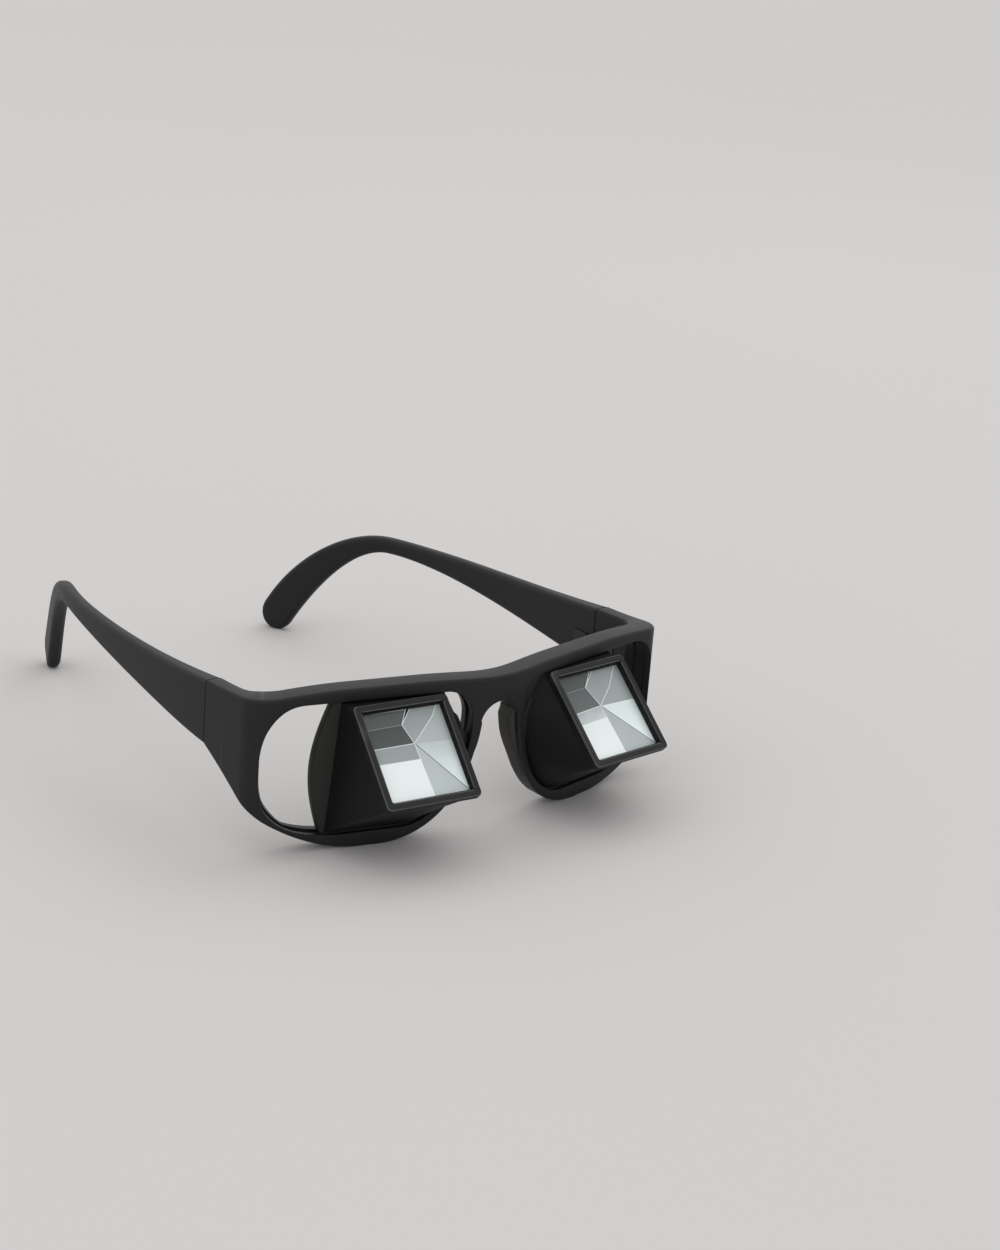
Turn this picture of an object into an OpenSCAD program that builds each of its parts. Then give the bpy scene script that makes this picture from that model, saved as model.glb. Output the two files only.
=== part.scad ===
// Belay glasses: a moulded spectacle frame that carries a prism in a hood in front of each eye.
// The front faces -Y, +X is the wearer's left, and the glasses lie on their rims and temple tips at z = 0.

/* [Frame front] */
// Half of the width over the end pieces
half_w = 70.2; // [66:0.1:76]
// Height of the top bar's upper edge over the lowest point of the rims
frame_h = 45; // [43.6:0.1:50]
// Depth of the front, from its front face to its rear face
front_t = 7; // [6:0.1:8]
// Thickness of the end pieces at the temple seams
side_t = 5; // [4.4:0.1:6]
// Angle by which each half of the front sweeps back
wrap_angle = 12.2; // [8:0.1:15]
// Radius of the front face over the bridge
bridge_r = 46; // [35:1:60]
// Radius outside each corner, between the front and the end piece
corner_r = 8.4; // [7.8:0.1:10]
// Radius inside each corner
corner_inner_r = 9; // [4:0.5:10]
// Distance of the temple seam behind the corner's centre
end_piece_l = 16.6; // [14:0.1:22]
// Height of the end piece at the temple seam
seam_h = 18.2; // [15:0.1:20]
// How much lower the end piece's upper edge is at the seam than over the lenses
seam_drop = 2.6; // [1.4:0.1:5]
// How much lower the upper edge is at the bridge
bridge_dip = 0.6; // [0:0.1:2]
// Width of the chamfer along the long edges
edge_chamfer = 0.8; // [0.4:0.1:1.2]

/* [Rims and nose] */
// Place of the lowest point of each rim, along the front face from the bridge
rim_low_s = 37; // [34:0.5:42]
// Length of the flat foot under each rim
foot_l = 5; // [3:0.5:8]
// Height of the top bar over the lens openings
brow_h = 3.4; // [2.8:0.1:6.8]
// Height of the rim under the lens opening
rim_t = 4.2; // [3.2:0.1:4.8]
// Nasal end of the lens opening, along the front face from the bridge
opening_nasal_s = 9.2; // [9:0.1:11]
// Temple end of the lens opening, along the front face from the bridge
opening_temple_s = 69.8; // [66:0.1:71]
// Depth of the groove that runs round the inside of each rim
groove_depth = 0.8; // [0.5:0.1:1.1]
// Radius of the arch over the nose
arch_r = 6.2; // [5:0.1:7]
// Height of the bridge over the arch
bridge_h = 7.5; // [5.9:0.1:9.4]
// Thickness of the nose pads
pad_t = 1.0; // [0.6:0.1:2]
// Height of the nose pads
pad_h = 15; // [11:0.5:17]
// How far the nose pads stand behind the rear face of the front
pad_reach = 0.8; // [0.4:0.1:4]

/* [Temples] */
// Distance from the seam to the ear bend, along Y
ear_l = 93; // [80:1:100]
// Distance from the ear bend to the tip, along Y
hook_l = 37.8; // [28:1:40]
// How far the ear bend lies inside the seam
ear_in = 9.4; // [6:0.2:18]
// How far the tip lies inside the seam
tip_in = 25.6; // [20:0.2:30]
// Height of the temple at the ear bend
ear_h = 5; // [4.5:0.1:9]
// Height of the temple's paddle-shaped tip
tip_h = 11.2; // [8:0.1:12]
// Height of the temple's middle at the ear bend
ear_z = 36.7; // [34:0.1:39]
// Thickness of the temple in its middle
temple_t = 4.2; // [3.2:0.1:4.6]
// Gap in the seam between the end piece and the temple
seam_gap = 0.3; // [0.2:0.05:0.5]

/* [Hinges] */
// Outer radius of the hinge knuckles
knuckle_r = 1.7; // [1.5:0.05:2]
// Height of the hinge over the lower edge of the end piece
hinge_low = 2.6; // [2.4:0.1:4]
// Height of the temple leaf's knuckle
knuckle_h = 2.4; // [2.2:0.1:3.4]
// Radius of the hinge screw's shank
screw_r = 0.7; // [0.6:0.05:0.8]
// Radial clearance between the screw and the knuckles
screw_fit = 0.05; // [0.02:0.01:0.08]
// Axial gap between neighbouring knuckles
knuckle_gap = 0.12; // [0.1:0.01:0.2]
// Radius of the screw's head
head_r = 1.35; // [1.2:0.05:1.5]
// Height of the screw's head
head_h = 0.8; // [0.6:0.1:1]
// Thickness of the hinge leaves
leaf_t = 1.1; // [0.8:0.1:1.3]
// Length of the hinge leaves
leaf_l = 7.5; // [6:0.5:9]

/* [Prism windows] */
// Distance of each window's centre from the middle of the glasses
window_x = 32; // [31:0.1:34]
// How far the window's centre lies below the front's upper edge
window_drop = 13.8; // [13:0.1:14.6]
// Distance of the window's centre in front of the prism's rear face
window_fwd = 12; // [11.6:0.1:15]
// Width over the window bezel
bezel_w = 28.6; // [27:0.1:28.8]
// Height over the window bezel
bezel_h = 29.7; // [28:0.1:30]
// Width of the bezel's frame round the glass
bezel_edge = 2; // [1.9:0.1:3]
// Radius of the bezel's outer corners
bezel_corner_r = 1.2; // [0.5:0.1:3]
// Depth of the bezel's rim
bezel_t = 2.2; // [1.8:0.1:2.4]
// Lean of the window from upright
window_tilt = 44.3; // [41:0.1:47]
// Angle by which the window turns outwards
window_yaw = 5.3; // [2:0.1:8]
// Thickness of the bezel's lip over the glass
lip_t = 1.2; // [0.9:0.1:1.5]
// Thickness of the gasket between the lip and the glass
gasket_t = 0.6; // [0.4:0.1:0.8]
// Thickness of the hood's side walls
hood_wall = 1.4; // [1.3:0.1:1.6]
// Place of the hood's open side on the carrier at its top, along the front face
hood_top_s = 47.2; // [46.8:0.1:49]
// Place of the hood's open side on the carrier at its bottom, along the front face
hood_low_s = 50; // [47:0.1:50.4]
// Height of the prism's lower rear edge over the bottom of the lens opening
prism_lift = 5.2; // [5:0.1:6.8]
// Thickness of the mirror plate under the prism
mirror_t = 0.7; // [0.5:0.1:0.8]
// Clearance round the prism and its mirror plate
prism_gap = 0.1; // [0.05:0.01:0.15]

/* [Prism carriers] */
// Depth of the carrier's front face behind the front face of the rim
carrier_d = 1.5; // [1.2:0.1:2]
// Thickness of the carrier plate
carrier_t = 3; // [2:0.1:3.4]
// Play between the carrier plate and the rim's groove
carrier_play = 0.1; // [0.05:0.01:0.2]
// Place of the carrier's open edge at its top, along the front face
carrier_top_s = 49; // [48.6:0.1:53]
// Place of the carrier's open edge at its bottom, along the front face
carrier_low_s = 51.2; // [50.8:0.1:53]
// How far the carrier's open edge bulges in its middle
carrier_bulge = 4.4; // [3:0.1:6]
// Least thickness of the prism's seat on the carrier
seat_t = 0.8; // [0.6:0.1:1.5]
// Width of the seat round the eye aperture
seat_w = 2.2; // [1.8:0.1:3]

/* [Hidden] */
$fn = 48;
cut = 1;                       // overshoot of a cutting shape past the surface it opens
frame_black = [0.06, 0.06, 0.065];
hood_black = [0.045, 0.045, 0.05];
pad_black = [0.10, 0.10, 0.09];
hinge_steel = [0.62, 0.62, 0.64];
glass_tint = [0.80, 0.86, 0.88, 0.5];
mirror_silver = [0.85, 0.87, 0.88];
gasket_black = [0.02, 0.02, 0.02];

// The front face seen from above is one curve: an arc over the bridge, a straight panel,
// a corner arc and the straight end piece. s runs along it from the bridge.
arc_s = bridge_r * wrap_angle * PI / 180;
arc_end = bridge_r * [sin(wrap_angle), 1 - cos(wrap_angle)];
panel_dir = [cos(wrap_angle), sin(wrap_angle)];
panel_x = half_w - corner_r * (1 - sin(wrap_angle));
panel_s = arc_s + (panel_x - arc_end.x) / cos(wrap_angle);
panel_end = arc_end + (panel_s - arc_s) * panel_dir;
corner_c = [half_w - corner_r, panel_end.y + corner_r * cos(wrap_angle)];
corner_s = panel_s + corner_r * (90 - wrap_angle) * PI / 180;
seam_s = corner_s + end_piece_l;
seam_y = corner_c.y + end_piece_l;
seam_top_z = frame_h - seam_drop;
seam_bottom_z = seam_top_z - seam_h;

function smooth(t) = let (u = max(0, min(1, t))) u * u * (3 - 2 * u);
function mix(a, b, t) = a + (b - a) * t;
// From a to b in steps that start small and grow.
function eased(a, b, t) = mix(a, b, 1 - cos(90 * t));
function bezier(p, t) = pow(1 - t, 3) * p[0] + 3 * t * pow(1 - t, 2) * p[1]
                      + 3 * t * t * (1 - t) * p[2] + pow(t, 3) * p[3];
function turn(s) = s < arc_s ? s / bridge_r * 180 / PI
                 : s < panel_s ? wrap_angle
                 : s < corner_s ? wrap_angle + (s - panel_s) / corner_r * 180 / PI
                 : 90;
function face(s) = s < arc_s ? bridge_r * [sin(turn(s)), 1 - cos(turn(s))]
                 : s < panel_s ? arc_end + (s - arc_s) * panel_dir
                 : s < corner_s ? corner_c + corner_r * [sin(turn(s)), -cos(turn(s))]
                 : corner_c + [corner_r, s - corner_s];
// The rear face runs parallel to the panel and to the end piece, with a rounded corner of its own between them.
rear_start = arc_end - arc_s * panel_dir + front_t * [-panel_dir.y, panel_dir.x];
inner_c_x = half_w - side_t - corner_inner_r;
inner_c = [inner_c_x, rear_start.y + ((inner_c_x - rear_start.x) * panel_dir.y + corner_inner_r) / panel_dir.x];
inner_s0 = (inner_c - rear_start) * panel_dir;
inner_s1 = corner_s + inner_c.y - corner_c.y;
function rear(s) = s < inner_s0 ? face(s) + front_t * [-sin(turn(s)), cos(turn(s))]
                 : s > inner_s1 ? [half_w - side_t, face(s).y]
                 : let (h = wrap_angle + (90 - wrap_angle) * (s - inner_s0) / (inner_s1 - inner_s0))
                   inner_c + corner_inner_r * [sin(h), -cos(h)];
// A point at s along the front face and z high, at depth d on the way from the front face to the rear face,
// which is d = front_t everywhere.
function bent(s, d, z) = let (a = abs(s), p = mix(face(a), rear(a), d / front_t)) [(s < 0 ? -1 : 1) * p.x, p.y, z];

// Outline of the front, as heights along s. Its curves run between two ends, shaped by two handles.
top_flat_s = 24;
top_drop_s = 45;
arch_c_z = frame_h - bridge_dip - bridge_h - arch_r;
foot_s0 = rim_low_s - foot_l / 2;
foot_s1 = rim_low_s + foot_l / 2;
lower_pull = [[19.5, 0], [opening_temple_s + 1.9 - seam_s, -10.6]];    // from the foot, and from the seam
nose_pull = [[-16.5, 0], [2.4, 12.5 - arch_c_z]];    // from the foot, and from the arch
function pulled(a, b, pull) = [a, a + pull[0], b + pull[1], b];
lower_edge = pulled([foot_s1, 0], [seam_s, seam_bottom_z], lower_pull);
nose_edge = pulled([foot_s0, 0], [arch_r, arch_c_z], nose_pull);
// Half of the nose gap's outline, from the foot of the rim up to the arch.
nose_steps = 24;
nose_side = [for (i = [0:nose_steps]) bezier(nose_edge, i / nose_steps)];
function top_z(s) = frame_h - bridge_dip * (1 - smooth(abs(s) / top_flat_s))
                  - (frame_h - seam_top_z) * smooth((abs(s) - top_drop_s) / (seam_s - top_drop_s));

// Outline of a lens opening, grown by g: heights of its top and bottom at s.
opening_low_z = rim_t;
opening_top_z = frame_h - brow_h;
under_seam = 5;                       // how far the lower temple corner ends below the end piece
nasal_corner_z = frame_h - 12.3;      // height at which the two nasal corners meet
// Length and height of the lower corner, and of the upper one.
temple_corner = [24, seam_bottom_z - under_seam - opening_low_z, 10.5, 0.75 * (opening_top_z - seam_bottom_z)];
nasal_corner = [30.75 - frame_h / 4, nasal_corner_z - opening_low_z, 8, opening_top_z - nasal_corner_z];
function corner_rise(gone, run, rise) = gone >= run ? 0 : rise * (1 - sqrt(max(0, 1 - pow(1 - gone / run, 2))));
function opening_bottom(s, g) = opening_low_z - g
    + corner_rise(opening_temple_s + g - s, temple_corner[0] + g, temple_corner[1] + g)
    + corner_rise(s - opening_nasal_s + g, nasal_corner[0] + g, nasal_corner[1] + g);
function opening_top(s, g) = opening_top_z + g
    - corner_rise(opening_temple_s + g - s, temple_corner[2] + g, temple_corner[3] + g)
    - corner_rise(s - opening_nasal_s + g, nasal_corner[2] + g, nasal_corner[3] + g);

// A closed skin over rings that have the same number of points.
module skin(rings) {
    n = len(rings[0]);
    last = len(rings) - 1;
    points = [for (r = rings) for (p = r) p];
    sides = [for (i = [0:last - 1]) for (j = [0:n - 1]) let (k = (j + 1) % n, a = i * n, b = a + n)
        each [[a + j, a + k, b + k], [a + j, b + k, b + j]]];
    ends = [[for (j = [n - 1:-1:0]) j], [for (j = [0:n - 1]) last * n + j]];
    polyhedron(points, concat(sides, ends), convexity = 8);
}

function bar_ring(s, zb, zt, t, c) = [
    for (q = [[c, zb], [0, zb + c], [0, zt - c], [c, zt], [t - c, zt], [t, zt - c], [t, zb + c], [t - c, zb]])
        bent(s, q.x, q.y)];

module front_bar() {
    bridge_steps = 14;
    side_steps = 40;
    middle = [for (i = [0:bridge_steps - 1]) [foot_s1 * i / bridge_steps, 0]];
    outer = [for (i = [0:side_steps]) bezier(lower_edge, i / side_steps)];
    half = concat(middle, outer);
    stations = concat([for (i = [len(half) - 1:-1:1]) [-half[i][0], half[i][1]]], half);
    skin([for (q = stations) bar_ring(q[0], q[1], top_z(q[0]), front_t, edge_chamfer)]);
}

// Cuts a lens opening, grown by g, from depth d0 to depth d1.
module opening_cut(side, g, d0, d1) {
    steps = 36;
    s0 = opening_nasal_s - g;
    s1 = opening_temple_s + g;
    stations = [for (i = [0:steps]) mix(s0, s1, (1 - cos(180 * (side > 0 ? i : steps - i) / steps)) / 2)];
    skin([for (s = stations) let (zb = opening_bottom(s, g), zt = opening_top(s, g))
        [bent(side * s, d0, zb), bent(side * s, d0, zt), bent(side * s, d1, zt), bent(side * s, d1, zb)]]);
}

module nose_gap() {
    arch = [for (a = [15:15:165]) [arch_r * cos(a), arch_c_z + arch_r * sin(a)]];
    outline = concat([[foot_s0, -cut]], nose_side, arch,
                     [for (i = [nose_steps:-1:0]) [-nose_side[i].x, nose_side[i].y]], [[-foot_s0, -cut]]);
    gap_back = face(foot_s0).y + front_t + cut;
    translate([0, gap_back, 0]) rotate([90, 0, 0]) linear_extrude(gap_back + cut) polygon(outline);
}

// Hinge: its axis stands inside the seam, clear of the plastic by a little.
hinge_clear = 0.3;
inner_x = half_w - side_t;
hinge_x = inner_x - knuckle_r - hinge_clear;
hinge_y = seam_y + seam_gap / 2;
outer_knuckle_h = knuckle_h - 0.2;
hinge_h = knuckle_h + 2 * outer_knuckle_h + 2 * knuckle_gap;
hinge_z = seam_bottom_z + hinge_low + hinge_h / 2;
leaf_sink = leaf_t - 0.3;             // how far a leaf is let into the plastic
leaf_play = 0.05;
leaf_start = 1.2;                     // distance of the leaf plates from the hinge axis, along Y

// The pocket for a leaf. dir is -1 in the end piece and 1 in the temple.
module leaf_pocket(dir) {
    y0 = hinge_y + (dir > 0 ? -cut : -leaf_start - leaf_l - leaf_play);
    length = leaf_start + leaf_l + leaf_play + cut;
    translate([inner_x - cut, y0, hinge_z - hinge_h / 2 - leaf_play])
        cube([cut + leaf_sink + leaf_play, length, hinge_h + 2 * leaf_play]);
}

module both() {
    children();
    mirror([1, 0, 0]) children();
}

module front_frame() {
    groove_d0 = carrier_d - carrier_play;
    groove_d1 = carrier_d + carrier_t + carrier_play;
    cut_d1 = front_t + cut;
    color(frame_black) difference() {
        front_bar();
        for (side = [-1, 1]) {
            opening_cut(side, 0, -cut, cut_d1);
            opening_cut(side, groove_depth, groove_d0, groove_d1);
        }
        nose_gap();
        both() leaf_pocket(-1);
    }
}

// A pad lies on the flank of the nose gap, up to the start of the arch, and swells towards the nose.
module nose_pad() {
    flank = concat([for (p = nose_side) if (p.y > arch_c_z - pad_h) p],
                   [for (a = [15, 30]) [arch_r * cos(a), arch_c_z + arch_r * sin(a)]]);
    last = len(flank) - 1;
    swell = [for (i = [last - 1:-1:1]) flank[i] - [pad_t * pow(sin(180 * i / last), 0.6), 0]];
    pad_front = face(nose_side[nose_steps].x).y + edge_chamfer + 0.6;
    pad_back = front_t + pad_reach;
    color(pad_black) translate([0, pad_back, 0]) rotate([90, 0, 0])
        linear_extrude(pad_back - pad_front) polygon(concat(flank, swell));
}

// Temple: rings across a centre line that runs back to the ear bend and down to the tip.
temple_y0 = seam_y + seam_gap;
temple_x0 = half_w - side_t / 2;
temple_chamfer = 1.1;
ear = [temple_x0 - ear_in, seam_y + ear_l, ear_z];
ear_dir = [-0.33, 1, -0.05];          // way that the centre line runs through the ear bend
tip = [temple_x0 - tip_in, ear.y + hook_l, tip_h * 0.45];
tip_dir = [-0.41, 1, -1.8];           // way that it runs into the tip
tip_end_h = 2.4;                      // height and thickness to which the rounded tip closes
arm_start = [temple_x0, temple_y0, (seam_top_z + seam_bottom_z) / 2];
arm_pull = [30, 24];                  // reach of the handles that shape the arm's line
hook_pull = [12.5, 11];               // and of those that shape the hook's line
arm_line = [arm_start, arm_start + [0, arm_pull[0], 0], ear - arm_pull[1] * ear_dir, ear];
hook_line = [ear, ear + hook_pull[0] * ear_dir, tip - hook_pull[1] * tip_dir, tip];
arm_steps = 26;
hook_steps = 16;
tip_steps = 6;

function unit(v) = v / norm(v);
function slope(line, t) = unit(bezier(line, min(1, t + 0.01)) - bezier(line, max(0, t - 0.01)));
function temple_ring(p, dir, w, h, c) = let (
        side = unit([dir.y, -dir.x, 0]),
        up = cross(side, dir),
        a = w / 2,
        b = h / 2)
    [for (q = [[a - c, -b], [a, c - b], [a, b - c], [a - c, b], [c - a, b], [-a, b - c], [-a, c - b], [c - a, -b]])
        p + q[0] * side + q[1] * up];
// The arm narrows fast behind the seam, then more slowly to the ear bend.
function arm_height(t) = mix(seam_h, ear_h, 0.35 * smooth(t * 1.05) + 0.65 * (1 - pow(1 - t, 1.9)));
function arm_ring(t) = temple_ring(bezier(arm_line, t), t == 0 ? [0, 1, 0] : slope(arm_line, t),
    mix(side_t, temple_t, smooth(t * 2.2)), arm_height(t), mix(edge_chamfer, temple_chamfer, smooth(t * 3)));
function hook_ring(t) = temple_ring(bezier(hook_line, t), slope(hook_line, t), temple_t,
    mix(ear_h, tip_h, smooth(t * 1.05)), temple_chamfer);
// The tip ends in half a circle of the paddle's height.
function tip_ring(a) = temple_ring(tip + slope(hook_line, 1) * tip_h / 2 * sin(a), slope(hook_line, 1),
    mix(temple_t, tip_end_h, 1 - cos(a)), max(tip_h * cos(a), tip_end_h), temple_chamfer * cos(a) + 0.1);
temple_rings = concat([for (i = [0:arm_steps]) arm_ring(i / arm_steps)],
                      [for (i = [1:hook_steps]) hook_ring(i / hook_steps)],
                      [for (i = [1:tip_steps]) tip_ring(84 * i / tip_steps)]);
// The hook is sheared so that the tip's lowest point lies at z = 0.
tip_low = min([for (r = temple_rings) for (p = r) p.z]);
function settle(p) = [p.x, p.y, p.z - tip_low * smooth((p.y - ear.y) / hook_l + 0.5)];
settled_rings = [for (r = temple_rings) [for (p = r) settle(p)]];

module temple() {
    color(frame_black) difference() {
        skin(settled_rings);
        leaf_pocket(1);
    }
}

// One leaf of a hinge: a plate let into the plastic, and knuckles round the axis at the heights in zs.
module hinge_leaf(dir, zs, h) {
    color(hinge_steel) difference() {
        union() {
            translate([inner_x + leaf_sink - leaf_t, dir > 0 ? leaf_start : -leaf_start - leaf_l, -hinge_h / 2])
                cube([leaf_t, leaf_l, hinge_h]);
            for (z = zs) translate([hinge_x, 0, z]) {
                cylinder(r = knuckle_r, h = h);
                translate([0, dir > 0 ? 0 : -knuckle_r, 0]) cube([knuckle_r + hinge_clear, knuckle_r, h]);
            }
        }
        translate([hinge_x, 0, -hinge_h]) cylinder(r = screw_r + screw_fit, h = 2 * hinge_h);
    }
}

module front_hinge() {
    translate([0, hinge_y, hinge_z])
        hinge_leaf(-1, [-hinge_h / 2, hinge_h / 2 - outer_knuckle_h], outer_knuckle_h);
}

module temple_hinge() {
    translate([0, hinge_y, hinge_z]) hinge_leaf(1, [-knuckle_h / 2], knuckle_h);
}

module hinge_screw() {
    slot_w = 0.35;
    color(hinge_steel) translate([hinge_x, hinge_y, hinge_z]) difference() {
        union() {
            translate([0, 0, -hinge_h / 2 - 0.4]) cylinder(r = screw_r, h = hinge_h + 0.4);
            translate([0, 0, hinge_h / 2]) cylinder(r = head_r, h = head_h);
        }
        translate([-head_r - cut, -slot_w / 2, hinge_h / 2 + head_h / 2]) cube([2 * (head_r + cut), slot_w, head_h]);
    }
}

// The straight panel as a plane: 2D x is s, 2D y is height, and the slab runs from depth d0 to d1.
panel_origin = arc_end - arc_s * panel_dir;
module on_panel(d0, d1) {
    translate([panel_origin.x, panel_origin.y, 0]) rotate([90, 0, wrap_angle])
        translate([0, 0, -d1]) linear_extrude(d1 - d0) children();
}

// Prism unit: x across, y back from the prism's rear face, z up.
prism_w = bezel_w - 2 * (hood_wall + prism_gap);
prism_h = bezel_h - 2 * (hood_wall + prism_gap);
seat_x = window_x - prism_w / 2;
prism_back_y = panel_origin.y + (seat_x - panel_origin.x) * tan(wrap_angle) + carrier_d / cos(wrap_angle)
             + sin(window_yaw) * prism_w / 2 - seat_t;
window_c = [-window_fwd, frame_h - window_drop];
prism_low_z = opening_low_z + prism_lift;
window_up = [sin(window_tilt), cos(window_tilt)];
window_in = [cos(window_tilt), -sin(window_tilt)];
glass_in = lip_t + gasket_t;
prism_top = window_c + prism_h / 2 * window_up + glass_in * window_in;
prism_nose = window_c - prism_h / 2 * window_up + glass_in * window_in;
prism_profile = [prism_nose, prism_top, [0, prism_top.y], [0, prism_low_z]];
mirror_along = unit([0, prism_low_z] - prism_nose);
mirror_down = [mirror_along.y, -mirror_along.x];

// The upper nasal corner of the opening stays open: the carrier and the hood's foot are cut off there, along
// a line that runs upwards through the given points, each a way along the front and a drop below the brow.
module over_nose(line) {
    rim = [[0, -cut], [0, line[0][1]]];
    polygon([for (p = concat(rim, line)) [p[0], opening_top_z - p[1]]]);
}

module in_unit() {
    translate([window_x, prism_back_y, 0]) rotate([0, 0, window_yaw]) children();
}

// Extrudes a side profile across the unit, w wide.
module across(w) {
    translate([-w / 2, 0, 0]) rotate([90, 0, 90]) linear_extrude(w) children();
}

// Places flat shapes on the window, with z pointing out of it.
module on_window() {
    translate([0, window_c.x, window_c.y]) rotate([90 - window_tilt, 0, 0]) children();
}

module rounded(w, h, r) {
    hull() for (x = [-1, 1], y = [-1, 1]) translate([x * (w / 2 - r), y * (h / 2 - r)]) circle(r, $fn = 24);
}

module prism() {
    color(glass_tint) in_unit() across(prism_w) polygon(prism_profile);
}

module mirror_plate() {
    a = prism_nose + mirror_along * mirror_t;
    b = [0, prism_low_z];
    color(mirror_silver) in_unit() across(prism_w) polygon([a, b, b + mirror_down * mirror_t, a + mirror_down * mirror_t]);
}

module prism_gasket() {
    inner = 2 * (bezel_edge + 0.2);
    color(gasket_black) in_unit() on_window() translate([0, 0, -glass_in]) linear_extrude(gasket_t) difference() {
        square([prism_w, prism_h], center = true);
        square([bezel_w - inner, bezel_h - inner], center = true);
    }
}

// Outline of the hood's foot on the carrier: it follows the opening, inside it by play, but for the nasal end.
module hood_foot(play) {
    steps = 14;
    s0 = opening_nasal_s + play;
    low = [for (i = [0:steps]) let (s = eased(s0, hood_low_s, i / steps)) [s, opening_bottom(s, -play)]];
    top = [for (i = [steps:-1:0]) let (s = eased(s0, hood_top_s, i / steps)) [s, opening_top(s, -play)]];
    difference() {
        polygon(concat(low, top));
        over_nose([[12, opening_top_z], [12, 10.6], [13.8, 7.3], [17.7, -cut]]);
    }
}

module hood_shell() {
    step_in = 0.5;                        // how far the hood's sides stand inside the bezel's edge
    overlap = 0.5;                        // how far they start inside the bezel's rear
    foot_t = 0.6;
    hull() {
        in_unit() on_window() translate([0, 0, overlap - bezel_t]) linear_extrude(overlap)
            square([bezel_w - 2 * step_in, bezel_h - 2 * step_in], center = true);
        on_panel(carrier_d - foot_t, carrier_d) hood_foot(0.4);
    }
    in_unit() on_window() translate([0, 0, -bezel_t]) linear_extrude(bezel_t)
        rounded(bezel_w, bezel_h, bezel_corner_r);
}

// The room for the prism, its mirror plate and its seat, open towards the eye.
module prism_room() {
    back = prism_w / 2;
    low = mirror_down * (mirror_t + prism_gap);
    across(prism_w + 2 * prism_gap) polygon([
        prism_nose - window_in * gasket_t, prism_top - window_in * gasket_t, prism_top + [0, prism_gap],
        [back, prism_top.y + prism_gap], [back, prism_low_z + low.y],
        [0, prism_low_z] + low, prism_nose + low]);
}

module prism_hood() {
    color(hood_black) difference() {
        hood_shell();
        in_unit() {
            prism_room();
            on_window() translate([0, 0, -glass_in - cut]) linear_extrude(glass_in + 2 * cut)
                rounded(bezel_w - 2 * bezel_edge, bezel_h - 2 * bezel_edge, 0.5);
        }
    }
}

// Outline of the carrier plate: it sits in the rim's groove, and is open on the temple side and over the nose.
module carrier_outline() {
    steps = 18;
    g = groove_depth - carrier_play;
    s0 = opening_nasal_s - g;
    low = [for (i = [0:steps]) let (s = eased(s0, carrier_low_s, i / steps)) [s, opening_bottom(s, g)]];
    top = [for (i = [steps:-1:0]) let (s = eased(s0, carrier_top_s, i / steps)) [s, opening_top(s, g)]];
    bulge = [for (i = [1:steps - 1]) mix(low[steps], top[0], i / steps) + [carrier_bulge * sin(180 * i / steps), 0]];
    difference() {
        polygon(concat(low, bulge, top));
        over_nose([[opening_nasal_s - groove_depth - cut, 11.7], [12.9, 7.5], [17.1, -cut]]);
    }
}

module prism_carrier() {
    seat_low = prism_low_z;
    seat_top = prism_top.y;
    color(hood_black) difference() {
        union() {
            on_panel(carrier_d, carrier_d + carrier_t) carrier_outline();
            intersection() {
                in_unit() translate([-prism_w / 2, 0, seat_low]) cube([prism_w, 4 * front_t, seat_top - seat_low]);
                on_panel(-2 * front_t, carrier_d + carrier_t) translate([0, -cut]) square([panel_s, frame_h]);
            }
        }
        in_unit() translate([0, 0, (seat_low + seat_top) / 2]) rotate([90, 0, 0])
            translate([0, 0, -4 * front_t]) linear_extrude(6 * front_t)
                rounded(prism_w - 2 * seat_w, seat_top - seat_low - 2 * seat_w, 2);
    }
}

// The box of the whole object is centred on the origin along Y.
window_slope = [sin(window_yaw), window_up.x * cos(window_yaw)];
hood_front_y = prism_back_y + window_c.x * cos(window_yaw) - window_slope.x * (bezel_w / 2 - bezel_corner_r)
             - window_slope.y * (bezel_h / 2 - bezel_corner_r) - norm(window_slope) * bezel_corner_r;
back_y = max([for (r = settled_rings) for (p = r) p.y]);
y_shift = -(hood_front_y + back_y) / 2;

module left() { translate([0, y_shift, 0]) children(); }
module right() { translate([0, y_shift, 0]) mirror([1, 0, 0]) children(); }

left() front_frame();
left() nose_pad();  // left_nose_pad
right() nose_pad();  // right_nose_pad
left() temple();  // left_temple
right() temple();  // right_temple
left() front_hinge();  // left_front_hinge
right() front_hinge();  // right_front_hinge
left() temple_hinge();  // left_temple_hinge
right() temple_hinge();  // right_temple_hinge
left() hinge_screw();  // left_hinge_screw
right() hinge_screw();  // right_hinge_screw
left() prism_carrier();  // left_prism_carrier
right() prism_carrier();  // right_prism_carrier
left() prism_hood();  // left_prism_hood
right() prism_hood();  // right_prism_hood
left() prism();  // left_prism
right() prism();  // right_prism
left() mirror_plate();  // left_mirror_plate
right() mirror_plate();  // right_mirror_plate
left() prism_gasket();  // left_prism_gasket
right() prism_gasket();  // right_prism_gasket
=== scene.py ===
# %% [markdown]
# # Belay glasses
# Belay glasses let a climber's partner look ahead and see up: a glass prism in front of each
# eye bends the view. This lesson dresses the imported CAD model. Every piece made here goes into
# the model's own frame, in metres, so nothing is fitted by hand. The sizes below are the
# model's, written in millimetres.

# %% Load the model
from math import copysign, cos, dist, hypot, pi, radians, sin, tan
import bpy
import bmesh
from mathutils import Matrix, Vector


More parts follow.
